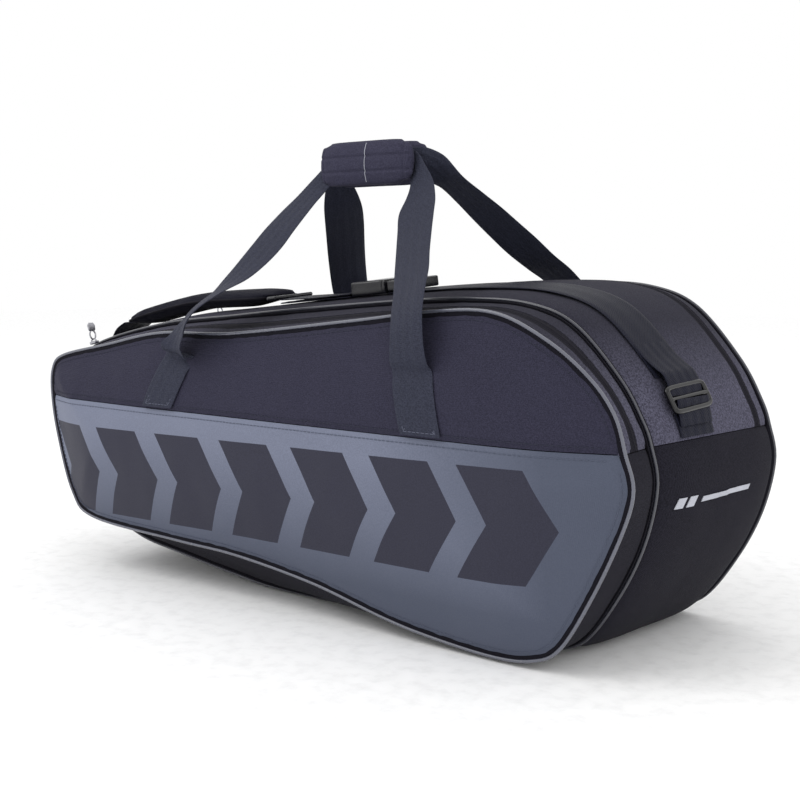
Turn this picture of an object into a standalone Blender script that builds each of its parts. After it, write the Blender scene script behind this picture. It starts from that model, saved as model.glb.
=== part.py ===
"""Six-racket tournament bag: padded shell, two zipped flaps, carrying handles and shoulder strap.

Metres, +Z up. X runs along the bag with the wide racket-head end at +X, and the
front face looks along -Y. The origin is on the floor under the middle of the bag.
"""

import math

import bmesh
import bpy
from mathutils import Matrix, Vector

# ---- driving dimensions -------------------------------------------------
SEAM_Z = 0.190           # height of the seam that splits every face into upper and lower
FRONT_Y = -0.120         # front piping
MIDDLE_Y = -0.070        # piping between the front pocket and the main compartment
REAR_Y = 0.125           # rear piping
FRONT_DOME = 0.025       # how far the filled front face swells
REAR_DOME = 0.018
DOME_RUN = 0.100         # distance from the edge over which a face swells
BULGE = 0.008            # swelling of the wide gusset between its two edges
BULGE_SHAPE = 5          # higher is flatter between the edges
REAR_LENGTHEN = 0.030    # the rear outline is this share longer than the middle one
REAR_RAISE = 0.104       # and stands this share higher above the seam
NARROW_X = -0.357        # narrow end of the fabric outline

FABRIC = 0.0025          # thickness of a padded fabric wall
GAP = 0.0003             # clearance between touching pieces
SEAM_GAP = 0.0004        # half the clearance at a sewn seam
PIPING_R = 0.0026
PIPING_ROOM = 0.0035      # gusset edges stop this far from the middle piping
DIVIDER = 0.0024
ZIP_HALF = 0.0070        # width of each half of a zip
ZIP_THICK = 0.0018
FRONT_ZIP_Y = -0.0968
REAR_ZIP_Y = 0.0960

WEBBING = 0.0022         # thickness of all webbing
HANDLE_WIDTH = 0.042
STRAP_WIDTH = 0.050
STRAP_Y = -0.010
STRAP_FINE = 10          # strap stations between two bends of the gusset
SQUARE_RINGS = 6         # webbing ends are cut level, turning square to the run over so many rings
ON_FABRIC = WEBBING / 2 + 0.0008   # height of webbing lying on the gusset
ON_PANEL = WEBBING / 2 + 0.0010    # and of the anchors on the upper faces
ANCHOR_RISE = 0.0046               # anchors end this far inside the seam and the fold line
PIVOT_Z = 0.2480         # handles fold about lines at this height
GRIP_SIZE = (0.117, 0.0105, 0.044)  # one padded half of the grip wrap
GRIP_X = 0.0135
GRIP_Z = 0.4370
HANDLE_Y = 0.0024        # each handle's webbing runs this far from the middle of the grip
ANCHOR_LEAN = {"left": (-0.155, -0.1345), "right": (0.183, 0.1685)}

PAD_SIZE = (0.062, 0.0140)          # width and thickness of the shoulder pad
RING_SIZE = (0.0180, 0.060, 0.0050)
LOCK_SIZE = (0.0250, 0.060, 0.0042)
SOCKET_SIZE = (0.044, 0.060, 0.0150)
PLUG_SIZE = (0.026, 0.054, 0.0110)
TONGUE = (0.0270, 0.0360, 0.0060)   # the plug's prongs inside the socket
SLIDER_SIZE = (0.0110, 0.0070, 0.0050)
PULL_SIZE = (0.0022, 0.0100)        # thickness and width of a zip pull
SLIDER_CLEAR = 0.0018
PULL_CLEAR = 0.0014      # lets a pull swing flat without touching its slider
SLIDER_INSET = 0.0042    # sliders ride this far onto the standing half of the zip

FLAP_Y = {"front": -0.1500, "rear": 0.1490}     # lines the flaps fold about, at the seam
HANDLE_PIVOT_Y = {"front": -0.1440, "rear": 0.1455}
BOARD_SIZE = (0.250, 0.100, 0.0030)
BOARD_AT = (0.090, 0.0275, 0.0065)

UPPER_STEPS = 42         # stations along the upper outline
LOWER_STEPS = 38
PANEL_ROWS = 5

# Outline of the fabric at the front piping, from the narrow end's seam over the top.
FRONT_UPPER = [
    (-0.3565, 0.190), (-0.3535, 0.220), (-0.3340, 0.234), (-0.2620, 0.248),
    (-0.1740, 0.264), (-0.0720, 0.267), (0.0830, 0.284), (0.1730, 0.295),
    (0.2380, 0.296), (0.2900, 0.275), (0.3290, 0.247), (0.3510, 0.220), (0.3610, 0.190),
]
FRONT_LOWER = [
    (0.3610, 0.190), (0.3685, 0.162), (0.3585, 0.126), (0.3330, 0.071), (0.3050, 0.025),
    (0.2790, 0.0105), (0.2400, 0.0067), (0.1740, 0.0115), (0.1200, 0.0195),
    (0.0340, 0.0375), (-0.0690, 0.0495), (-0.1550, 0.0525), (-0.2890, 0.0595),
    (-0.3250, 0.0835), (-0.3480, 0.145), (-0.3565, 0.190),
]
# The same at the middle piping, where the bag is taller and stands on the floor.
MIDDLE_UPPER = [
    (-0.3570, 0.190), (-0.3540, 0.224), (-0.3330, 0.245), (-0.2230, 0.270),
    (-0.1200, 0.281), (-0.0510, 0.288), (0.0960, 0.301), (0.1820, 0.305),
    (0.2410, 0.302), (0.2860, 0.286), (0.3290, 0.243), (0.3500, 0.210), (0.3580, 0.190),
]
MIDDLE_LOWER = [
    (0.3580, 0.190), (0.3640, 0.158), (0.3540, 0.110), (0.3320, 0.063), (0.3000, 0.019),
    (0.2650, 0.0072), (0.2200, 0.0067), (0.0700, 0.0067), (-0.0600, 0.0067),
    (-0.1200, 0.0120), (-0.2070, 0.0230), (-0.2700, 0.0330), (-0.3200, 0.0560),
    (-0.3420, 0.0950), (-0.3540, 0.145), (-0.3570, 0.190),
]

# ---- colours ------------------------------------------------------------
DARK = (0.040, 0.039, 0.062, 1.0)
LIGHT_GREY = (0.200, 0.215, 0.270, 1.0)
HEATHER = (0.105, 0.099, 0.132, 1.0)
DEEP = (0.021, 0.019, 0.028, 1.0)
TRIM = (0.100, 0.100, 0.120, 1.0)
WEB = (0.036, 0.040, 0.060, 1.0)
PLASTIC = (0.020, 0.020, 0.026, 1.0)
METAL = (0.450, 0.450, 0.470, 1.0)


# ---- curves -------------------------------------------------------------
def catmull(points, closed, spans):
    """Smooth curve through the points, with the same number of steps in each span."""
    count = len(points)
    result = []
    last = count if closed else count - 1
    for i in range(last):
        if closed:
            a, b, c, d = (points[(i + k) % count] for k in (-1, 0, 1, 2))
        else:
            a, b = points[max(i - 1, 0)], points[i]
            c, d = points[i + 1], points[min(i + 2, count - 1)]
        for step in range(spans):
            t = step / spans
            bend = 2 * b + (c - a) * t + (2 * a - 5 * b + 4 * c - d) * t ** 2
            result.append(0.5 * (bend + (3 * b - a - 3 * c + d) * t ** 3))
    if not closed:
        result.append(points[-1].copy())
    return result


def resample(points, count, trim):
    """Points evenly spaced along a polyline, starting and ending a little inside it."""
    lengths = [0.0]
    for a, b in zip(points, points[1:]):
        lengths.append(lengths[-1] + (b - a).length)
    result = []
    at = 0
    for i in range(count):
        wanted = trim + (lengths[-1] - 2 * trim) * i / (count - 1)
        while at < len(points) - 2 and lengths[at + 1] < wanted:
            at += 1
        share = (wanted - lengths[at]) / (lengths[at + 1] - lengths[at])
        result.append(points[at].lerp(points[at + 1], share))
    return result


def blended_keys(front, middle, y):
    """Outline points at depth y, before the gusset's swelling."""
    if y <= MIDDLE_Y:
        share = (y - FRONT_Y) / (MIDDLE_Y - FRONT_Y)
        return [Vector(a).lerp(Vector(b), share) for a, b in zip(front, middle)]
    share = (y - MIDDLE_Y) / (REAR_Y - MIDDLE_Y)
    keys = []
    for x, z in middle:
        longer = x + (x - NARROW_X) * REAR_LENGTHEN * share
        higher = z + max(0.0, z - SEAM_Z) * REAR_RAISE * share
        keys.append(Vector((longer, higher)))
    return keys


def outward(points):
    """Unit normals pointing away from the bag, for an outline that runs clockwise."""
    normals = []
    for i in range(len(points)):
        along = points[min(i + 1, len(points) - 1)] - points[max(i - 1, 0)]
        normals.append(Vector((-along.y, along.x)).normalized())
    return normals


def swelling(y):
    """How far the gusset stands out at depth y."""
    if y <= MIDDLE_Y or y >= REAR_Y:
        return 0.0
    t = (y - MIDDLE_Y) / (REAR_Y - MIDDLE_Y)
    return BULGE * (1 - abs(2 * t - 1) ** BULGE_SHAPE)


def outline(y, which, lift=0.0, trim=SEAM_GAP, steps=0):
    """Points (x, z) of the fabric's outer face at depth y, raised outwards by lift."""
    upper = blended_keys(FRONT_UPPER, MIDDLE_UPPER, y)
    lower = blended_keys(FRONT_LOWER, MIDDLE_LOWER, y)
    spans = 12
    loop = catmull(upper[:-1] + lower[:-1], True, spans)
    turn = (len(upper) - 1) * spans
    if which == "upper":
        line = resample(loop[:turn + 1], steps or UPPER_STEPS, trim)
    else:
        line = resample(loop[turn:] + [loop[0]], steps or LOWER_STEPS, trim)
    normals = outward(line)
    offset = swelling(y) + lift
    moved = [p + n * offset for p, n in zip(line, normals)]
    if lift <= 0:
        floor = -lift
        moved = [Vector((p.x, max(p.y, floor))) for p in moved]
    return moved


# ---- meshes -------------------------------------------------------------
def finish_mesh(name, bm, colour, metallic=0.0, roughness=0.8, smooth=True):
    """Turn a bmesh into a named object with its own material."""
    bmesh.ops.remove_doubles(bm, verts=bm.verts, dist=0.00002)
    bmesh.ops.recalc_face_normals(bm, faces=bm.faces)
    if bm.calc_volume(signed=True) < 0:
        bmesh.ops.reverse_faces(bm, faces=bm.faces)
    mesh = bpy.data.meshes.new(name)
    bm.to_mesh(mesh)
    bm.free()
    if smooth:
        mesh.shade_smooth()
        mesh.set_sharp_from_angle(angle=math.radians(35))
    thing = bpy.data.objects.new(name, mesh)
    bpy.context.collection.objects.link(thing)
    give_material(thing, colour, metallic, roughness)
    return thing


def give_material(thing, colour, metallic, roughness):
    material = bpy.data.materials.new(thing.name)
    material.use_nodes = True
    shader = material.node_tree.nodes["Principled BSDF"]
    shader.inputs["Base Color"].default_value = colour
    shader.inputs["Metallic"].default_value = metallic
    shader.inputs["Roughness"].default_value = roughness
    thing.data.materials.append(material)


def shell(name, outer, inner, colour, roughness=0.8):
    """Closed wall between two grids of points with the same rows and columns."""
    bm = bmesh.new()
    out = [[bm.verts.new(p) for p in row] for row in outer]
    back = [[bm.verts.new(p) for p in row] for row in inner]
    rows, cols = len(out), len(out[0])
    for r in range(rows - 1):
        for c in range(cols - 1):
            bm.faces.new((out[r][c], out[r][c + 1], out[r + 1][c + 1], out[r + 1][c]))
            bm.faces.new((back[r][c], back[r + 1][c], back[r + 1][c + 1], back[r][c + 1]))
    for r in range(rows - 1):
        bm.faces.new((out[r][0], out[r + 1][0], back[r + 1][0], back[r][0]))
        bm.faces.new((out[r][-1], back[r][-1], back[r + 1][-1], out[r + 1][-1]))
    for c in range(cols - 1):
        bm.faces.new((out[0][c], back[0][c], back[0][c + 1], out[0][c + 1]))
        bm.faces.new((out[-1][c], out[-1][c + 1], back[-1][c + 1], back[-1][c]))
    return finish_mesh(name, bm, colour, roughness=roughness)


def band(name, which, depths, colour, thickness=FABRIC, lift=0.0):
    """Strip of gusset that follows the outline, between the first and last depth."""
    outer, inner = [], []
    for y in depths:
        face = outline(y, which, lift)
        back = outline(y, which, lift - thickness)
        outer.append([Vector((p.x, y, p.y)) for p in face])
        inner.append([Vector((p.x, y, p.y)) for p in back])
    return shell(name, outer, inner, colour)


def spread(first, last, count):
    return [first + (last - first) * i / (count - 1) for i in range(count)]


def rim(y):
    """Closed polyline round the whole bag at depth y."""
    return outline(y, "upper", trim=0.0) + outline(y, "lower", trim=0.0)[1:-1]


def dome(point, edge, height):
    """Height of a filled face at a point, from its distance to the edge."""
    nearest = min((point - e).length for e in edge)
    return height * math.sin(0.5 * math.pi * min(1.0, nearest / DOME_RUN))


def face_y(x, z, front=True):
    """Depth of the outer face of the front or rear panel at (x, z)."""
    if front:
        return FRONT_Y - dome(Vector((x, z)), FRONT_RIM, FRONT_DOME)
    return REAR_Y + dome(Vector((x, z)), REAR_RIM, REAR_DOME)


def panel(name, which, front, colour):
    """Filled face above or below the seam: a shallow dome with a flat rim."""
    edge_y = FRONT_Y if front else REAR_Y
    rim_line = outline(edge_y, which)
    first, last = rim_line[0], rim_line[-1]
    into = FABRIC if front else -FABRIC
    outer, inner = [], []
    for row in spread(0.0, 1.0, PANEL_ROWS):
        outer_row, inner_row = [], []
        for i, edge_point in enumerate(rim_line):
            seam_point = first.lerp(last, i / (len(rim_line) - 1))
            p = seam_point.lerp(edge_point, row)
            y = face_y(p.x, p.y, front)
            outer_row.append(Vector((p.x, y, p.y)))
            inner_row.append(Vector((p.x, y + into, p.y)))
        outer.append(outer_row)
        inner.append(inner_row)
    return shell(name, outer, inner, colour)


def cord_tube(name, points, radius, colour, closed, sides=1, roughness=0.4, metallic=0.0):
    """Round cord along a list of points."""
    curve = bpy.data.curves.new(name, "CURVE")
    curve.dimensions = "3D"
    curve.bevel_depth = radius
    curve.bevel_resolution = sides
    curve.use_fill_caps = True
    line = curve.splines.new("POLY")
    line.points.add(len(points) - 1)
    for place, point in zip(line.points, points):
        place.co = (*point, 1.0)
    line.use_cyclic_u = closed
    thing = bpy.data.objects.new(name, curve)
    bpy.context.collection.objects.link(thing)
    give_material(thing, colour, metallic, roughness)
    return thing


def piping(name, y, which):
    """Corded edge that stands just outside the fabric at depth y."""
    lift = PIPING_R + 2 * GAP
    if which == "loop":
        upper = outline(y, "upper", lift, trim=0.0)
        line = upper + outline(y, "lower", lift, trim=0.0)[1:-1]
    else:
        line = outline(y, which, lift, trim=2 * SEAM_GAP)
    points = [Vector((p.x, y, p.y)) for p in line]
    return cord_tube(name, points, PIPING_R, TRIM, which == "loop")


def ribbon(name, stations, width, thickness, colour, spans=4):
    """Flat webbing through stations of (centre, direction across, share of its width)."""
    centres = catmull([Vector(station[0]) for station in stations], False, spans)
    across = catmull([Vector(station[1]) for station in stations], False, spans)
    gather = catmull([Vector((station[2], 0, 0)) for station in stations], False, spans)
    bm = bmesh.new()
    rings = []
    last = len(centres) - 1
    for i, centre in enumerate(centres):
        along = centres[min(i + 1, last)] - centres[max(i - 1, 0)]
        along.normalize()
        share = min(i, last - i, SQUARE_RINGS) / SQUARE_RINGS
        side = (across[i] - along * across[i].dot(along) * share).normalized()
        normal = side.cross(along).normalized()
        side = side * width * gather[i].x
        corners = [(0.5, 0.5), (-0.5, 0.5), (-0.5, -0.5), (0.5, -0.5)]
        rings.append([bm.verts.new(centre + side * a + normal * thickness * b) for a, b in corners])
    for first, second in zip(rings, rings[1:]):
        for k in range(4):
            m = (k + 1) % 4
            bm.faces.new((first[k], first[m], second[m], second[k]))
    bm.faces.new(rings[0][::-1])
    bm.faces.new(rings[-1])
    return finish_mesh(name, bm, colour)


def block(name, size, place, colour, bevel=0.0, turn=(0.0, 0.0, 0.0), roughness=0.5, metallic=0.0):
    """Box with rounded edges, its centre at place."""
    bm = bmesh.new()
    bmesh.ops.create_cube(bm, size=1.0)
    for vert in bm.verts:
        vert.co = Vector((vert.co.x * size[0], vert.co.y * size[1], vert.co.z * size[2]))
    if bevel:
        bmesh.ops.bevel(bm, geom=bm.edges[:], offset=bevel, segments=2, profile=0.5, affect="EDGES")
    thing = finish_mesh(name, bm, colour, metallic, roughness)
    thing.location = place
    thing.rotation_euler = turn
    return thing


def cut(target, size, place, turn=(0.0, 0.0, 0.0)):
    """Take a box away from an object; size and place are in the target's own frame."""
    cutter = block(target.name + "_cutter", size, (0, 0, 0), DARK)
    cutter.location = target.matrix_basis @ Vector(place)
    cutter.rotation_euler = [a + b for a, b in zip(target.rotation_euler, turn)]
    cutter.hide_render = True
    cutter.display_type = "WIRE"
    hole = target.modifiers.new("opening", "BOOLEAN")
    hole.operation = "DIFFERENCE"
    hole.object = cutter


# ---- the bag's shell ------------------------------------------------------
def make_body():
    """Everything sewn to the standing part of the bag."""
    half = FABRIC + GAP
    zip_in = FRONT_ZIP_Y + GAP / 2
    band("front_gusset_lower", "lower", spread(FRONT_Y + half, MIDDLE_Y - PIPING_ROOM, 3), DEEP)
    band("front_gusset_band", "upper", spread(zip_in + ZIP_HALF + GAP, MIDDLE_Y - PIPING_ROOM, 2), HEATHER)
    band("front_zip_inner_half", "upper", [zip_in, zip_in + ZIP_HALF], DEEP, ZIP_THICK)
    band("main_gusset_lower", "lower", spread(MIDDLE_Y + PIPING_ROOM, REAR_Y - half, 7), DEEP)
    rear_in = REAR_ZIP_Y - GAP / 2
    band("main_gusset_upper", "upper", spread(MIDDLE_Y + PIPING_ROOM, rear_in - ZIP_HALF - GAP, 6), HEATHER)
    band("rear_zip_inner_half", "upper", [rear_in - ZIP_HALF, rear_in], DEEP, ZIP_THICK)
    panel("front_lower_panel", "lower", True, LIGHT_GREY)
    panel("rear_lower_panel", "lower", False, DEEP)
    piping("front_piping_lower", FRONT_Y, "lower")
    piping("rear_piping_lower", REAR_Y, "lower")
    piping("middle_piping", MIDDLE_Y, "loop")
    make_divider()
    block("base_board", BOARD_SIZE, BOARD_AT, PLASTIC)


def make_divider():
    """Flat padded wall between the front pocket and the main compartment."""
    upper = outline(MIDDLE_Y, "upper", trim=0.0)
    lower = outline(MIDDLE_Y, "lower", trim=0.0)[1:-1]
    loop = upper + lower
    bm = bmesh.new()
    faces = []
    for y in (MIDDLE_Y - DIVIDER / 2, MIDDLE_Y + DIVIDER / 2):
        faces.append([bm.verts.new((p.x, y, p.y)) for p in loop])
    near, far = faces
    for i in range(len(loop)):
        j = (i + 1) % len(loop)
        bm.faces.new((near[i], near[j], far[j], far[i]))
    bm.faces.new(near)
    bm.faces.new(far[::-1])
    bmesh.ops.triangulate(bm, faces=[f for f in bm.faces if len(f.verts) > 4])
    finish_mesh("divider_panel", bm, DARK, smooth=False)


def make_flaps():
    """Upper faces that fold outwards about the seam when their zips are open."""
    half = FABRIC + GAP
    zip_out = FRONT_ZIP_Y - GAP / 2
    band("front_gusset_strip", "upper", [FRONT_Y + half, zip_out - ZIP_HALF - GAP], HEATHER)
    band("front_zip_outer_half", "upper", [zip_out - ZIP_HALF, zip_out], DEEP, ZIP_THICK)
    panel("front_upper_panel", "upper", True, DARK)
    piping("front_piping_upper", FRONT_Y, "upper")
    rear_out = REAR_ZIP_Y + GAP / 2
    band("rear_zip_outer_half", "upper", [rear_out, rear_out + ZIP_HALF], DEEP, ZIP_THICK)
    band("rear_gusset_strip", "upper", [rear_out + ZIP_HALF + GAP, REAR_Y - half], HEATHER)
    panel("rear_upper_panel", "upper", False, DARK)
    piping("rear_piping_upper", REAR_Y, "upper")


# ---- handles --------------------------------------------------------------
def make_anchors():
    """Stitched ends of the handle webbing, flat on the upper faces."""
    half = HANDLE_WIDTH / 2
    for face in ("front", "rear"):
        out = math.copysign(1, FLAP_Y[face])
        for side, (low_x, high_x) in ANCHOR_LEAN.items():
            stations = []
            for share in spread(0.0, 1.0, 5):
                z = SEAM_Z + ANCHOR_RISE + (PIVOT_Z - SEAM_Z - 2 * ANCHOR_RISE) * share
                x = low_x + (high_x - low_x) * share
                surface = max(abs(face_y(x + d, z, out < 0)) for d in (-half, 0.0, half))
                stations.append(((x, out * (surface + ON_PANEL), z), (1, 0, 0), 1))
            ribbon(f"{face}_handle_anchor_{side}", stations, HANDLE_WIDTH, WEBBING, WEB, spans=1)


# Stations along each loop: the webbing's centre, the direction across it and the
# share of its width left where it is gathered into the wrap.
FRONT_HANDLE = [
    ((-0.1345, -0.1365, 0.2500), (-1.00, 0.00, 0.00), 1.0),
    ((-0.1253, -0.1405, 0.2618), (-0.80, 0.40, 0.30), 1.0),
    ((-0.1154, -0.1420, 0.2741), (-0.63, 0.61, 0.40), 1.0),
    ((-0.1083, -0.1415, 0.2852), (-0.63, 0.74, 0.25), 1.0),
    ((-0.0980, -0.1350, 0.2970), (-0.68, 0.72, 0.10), 1.0),
    ((-0.0863, -0.1210, 0.3098), (-0.82, 0.57, 0.00), 1.0),
    ((-0.0777, -0.1050, 0.3234), (-0.93, 0.34, 0.10), 1.0),
    ((-0.0700, -0.0890, 0.3391), (-0.98, 0.18, 0.13), 1.0),
    ((-0.0655, -0.0730, 0.3550), (-0.99, 0.08, 0.11), 0.95),
    ((-0.0633, -0.0570, 0.3712), (-1.00, 0.05, 0.06), 0.90),
    ((-0.0619, -0.0390, 0.3876), (-0.99, 0.12, 0.10), 0.80),
    ((-0.0600, -0.0220, 0.4050), (-0.90, 0.15, 0.40), 0.65),
    ((-0.0560, -0.0085, 0.4200), (-0.60, 0.10, 0.70), 0.50),
    ((-0.0500, -0.0032, 0.4310), (-0.25, 0.00, 0.95), 0.50),
    ((-0.0420, -HANDLE_Y, GRIP_Z), (0.00, 0.00, 1.00), 0.55),
    ((-0.0310, -HANDLE_Y, GRIP_Z), (0.00, 0.00, 1.00), 0.80),
    ((-0.0060, -HANDLE_Y, GRIP_Z), (0.00, 0.00, 1.00), 0.90),
    ((0.0320, -HANDLE_Y, GRIP_Z), (0.00, 0.00, 1.00), 0.90),
    ((0.0570, -HANDLE_Y, GRIP_Z), (0.00, 0.00, 1.00), 0.80),
    ((0.0680, -HANDLE_Y, GRIP_Z), (0.00, 0.00, 1.00), 0.60),
    ((0.0765, -0.0034, 0.4345), (0.25, 0.00, 0.95), 0.50),
    ((0.0820, -0.0110, 0.4220), (0.65, 0.00, 0.75), 0.60),
    ((0.0872, -0.0200, 0.4077), (0.83, 0.07, 0.50), 0.80),
    ((0.0951, -0.0360, 0.3919), (0.91, 0.15, 0.39), 1.0),
    ((0.1056, -0.0520, 0.3764), (0.88, 0.16, 0.44), 1.0),
    ((0.1161, -0.0680, 0.3613), (0.87, 0.14, 0.48), 1.0),
    ((0.1322, -0.0920, 0.3396), (0.85, 0.12, 0.50), 1.0),
    ((0.1449, -0.1100, 0.3239), (0.85, 0.09, 0.50), 1.0),
    ((0.1554, -0.1280, 0.3071), (0.88, -0.02, 0.45), 1.0),
    ((0.1625, -0.1400, 0.2905), (0.92, -0.10, 0.30), 1.0),
    ((0.1660, -0.1445, 0.2737), (0.98, -0.12, 0.10), 1.0),
    ((0.1685, -0.1420, 0.2490), (1.00, 0.00, 0.00), 1.0),
]
REAR_HANDLE = [
    ((-0.1345, 0.1440, 0.2490), (-1.00, 0.00, 0.00), 1.0),
    ((-0.1352, 0.1470, 0.2700), (-0.97, -0.20, 0.00), 1.0),
    ((-0.1365, 0.1450, 0.2920), (-0.85, -0.50, 0.00), 1.0),
    ((-0.1339, 0.1360, 0.3104), (-0.76, -0.64, -0.05), 1.0),
    ((-0.1207, 0.1170, 0.3293), (-0.76, -0.64, -0.11), 1.0),
    ((-0.1041, 0.0950, 0.3475), (-0.76, -0.65, -0.07), 1.0),
    ((-0.0867, 0.0730, 0.3650), (-0.75, -0.65, -0.07), 1.0),
    ((-0.0705, 0.0510, 0.3817), (-0.75, -0.65, -0.07), 1.0),
    ((-0.0590, 0.0320, 0.3977), (-0.75, -0.60, 0.20), 0.80),
    ((-0.0555, 0.0170, 0.4140), (-0.60, -0.35, 0.65), 0.55),
    ((-0.0530, 0.0080, 0.4260), (-0.40, -0.15, 0.90), 0.50),
    ((-0.0490, 0.0040, 0.4345), (-0.10, 0.00, 1.00), 0.50),
    ((-0.0420, HANDLE_Y, GRIP_Z), (0.00, 0.00, 1.00), 0.55),
    ((-0.0310, HANDLE_Y, GRIP_Z), (0.00, 0.00, 1.00), 0.80),
    ((-0.0060, HANDLE_Y, GRIP_Z), (0.00, 0.00, 1.00), 0.90),
    ((0.0320, HANDLE_Y, GRIP_Z), (0.00, 0.00, 1.00), 0.90),
    ((0.0570, HANDLE_Y, GRIP_Z), (0.00, 0.00, 1.00), 0.80),
    ((0.0680, HANDLE_Y, GRIP_Z), (0.00, 0.00, 1.00), 0.60),
    ((0.0755, 0.0038, 0.4368), (0.15, 0.00, 0.95), 0.50),
    ((0.0815, 0.0100, 0.4320), (0.40, -0.15, 0.85), 0.60),
    ((0.0870, 0.0170, 0.4250), (0.70, -0.35, 0.55), 0.75),
    ((0.0935, 0.0260, 0.4160), (0.85, -0.42, 0.30), 0.90),
    ((0.1017, 0.0420, 0.4020), (0.93, -0.30, 0.20), 1.0),
    ((0.1105, 0.0600, 0.3867), (0.94, -0.22, 0.27), 1.0),
    ((0.1191, 0.0780, 0.3711), (0.93, -0.19, 0.32), 1.0),
    ((0.1286, 0.0960, 0.3552), (0.91, -0.19, 0.37), 1.0),
    ((0.1396, 0.1140, 0.3390), (0.90, -0.27, 0.34), 1.0),
    ((0.1522, 0.1320, 0.3227), (0.92, -0.25, 0.25), 1.0),
    ((0.1630, 0.1430, 0.3000), (1.00, 0.00, 0.00), 1.0),
    ((0.1665, 0.1465, 0.2750), (1.00, 0.00, 0.00), 1.0),
    ((0.1685, 0.1440, 0.2490), (1.00, 0.00, 0.00), 1.0),
]


def make_handles():
    """Webbing loops and the two padded halves of the grip wrap."""
    for face, stations, out in (("front", FRONT_HANDLE, -1), ("rear", REAR_HANDLE, 1)):
        ribbon(f"{face}_handle_webbing", stations, HANDLE_WIDTH, WEBBING, WEB, spans=3)
        y = out * (HANDLE_Y + WEBBING / 2 + 0.0023 + GRIP_SIZE[1] / 2)
        block(f"{face}_grip_pad", GRIP_SIZE, (GRIP_X, y, GRIP_Z), DARK, bevel=0.0045)


# ---- shoulder strap ---------------------------------------------------------
def strap_line(lift):
    """Centre, crosswise direction and full width all along the main gusset, raised by lift."""
    half = STRAP_WIDTH / 2
    near = outline(STRAP_Y - half, "upper", lift)
    far = outline(STRAP_Y + half, "upper", lift)
    corners = []
    for a, b in zip(near, far):
        corners.append((Vector((a.x, STRAP_Y - half, a.y)), Vector((b.x, STRAP_Y + half, b.y))))
    line = []
    for (a, b), (c, d) in zip(corners, corners[1:]):
        for share in spread(0.0, 1.0, STRAP_FINE + 1)[:-1]:
            near_edge = a.lerp(c, share)
            far_edge = b.lerp(d, share)
            line.append(((near_edge + far_edge) / 2, (far_edge - near_edge).normalized(), 1))
    line.append(((corners[-1][0] + corners[-1][1]) / 2, line[-1][1], 1))
    return line


def nearest(line, x, z):
    """Index of the station closest to (x, z)."""
    return min(range(len(line)), key=lambda i: math.hypot(line[i][0].x - x, line[i][0].z - z))


def strap_run(start, stop, lift):
    """Stations over the gusset from one (x, z) to another, bending only where it bends."""
    line = strap_line(lift)
    first, last = nearest(line, *start), nearest(line, *stop)
    bends = [i for i in range(first + 1, last) if i % STRAP_FINE == 0]
    bends = [i for i in bends if min(i - first, last - i) > STRAP_FINE // 4]
    return [line[i] for i in [first, *bends, last]]


def seat(x, z, lift):
    """Place and turn for a piece lying on the gusset, its own X along the strap."""
    line = strap_line(lift)
    at = nearest(line, x, z)
    along = (line[at + 1][0] - line[at - 1][0]).normalized()
    across = (line[at][1] - along * along.dot(line[at][1])).normalized()
    up = along.cross(across)
    return line[at][0], Matrix((along, across, up)).transposed().to_euler()


def make_strap():
    """Shoulder pad, adjusting webbing, buckle and the run down to the ladder lock."""
    tab = strap_run((-0.368, 0.1925), (-0.362, 0.2320), ON_FABRIC)
    ribbon("strap_left_tab", tab, STRAP_WIDTH, WEBBING, WEB, spans=1)
    rise = []
    for x, z, lift in ((-0.3600, 0.240, 0.0050), (-0.345, 0.252, 0.0110), (-0.332, 0.262, 0.0140)):
        line = strap_line(lift)
        rise.append(line[nearest(line, x, z)])
    ribbon("strap_left_webbing", rise, STRAP_WIDTH, WEBBING, WEB, spans=2)
    pad = strap_run((-0.3280, 0.270), (-0.1052, 0.302), 0.0135)
    ribbon("shoulder_pad", pad, PAD_SIZE[0], PAD_SIZE[1], DARK, spans=1)
    place, turn = seat(-0.0940, 0.300, 0.0125)
    ring = block("pad_ring", RING_SIZE, place, PLASTIC, 0.0012, turn=turn)
    cut(ring, (0.0105, 0.051, 0.0120), (0.0010, 0, 0))
    for layer, lift in (("lower", 0.0035), ("upper", 0.0095)):
        run = strap_run((-0.0830, 0.305), (0.0120, 0.312), lift)
        ribbon(f"strap_adjust_{layer}", run, STRAP_WIDTH, WEBBING, WEB, spans=1)
    make_buckle()
    right = strap_run((0.0620, 0.312), (0.3450, 0.2410), ON_FABRIC)
    ribbon("strap_right_webbing", right, STRAP_WIDTH, WEBBING, WEB, spans=1)
    make_ladder_lock()


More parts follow.
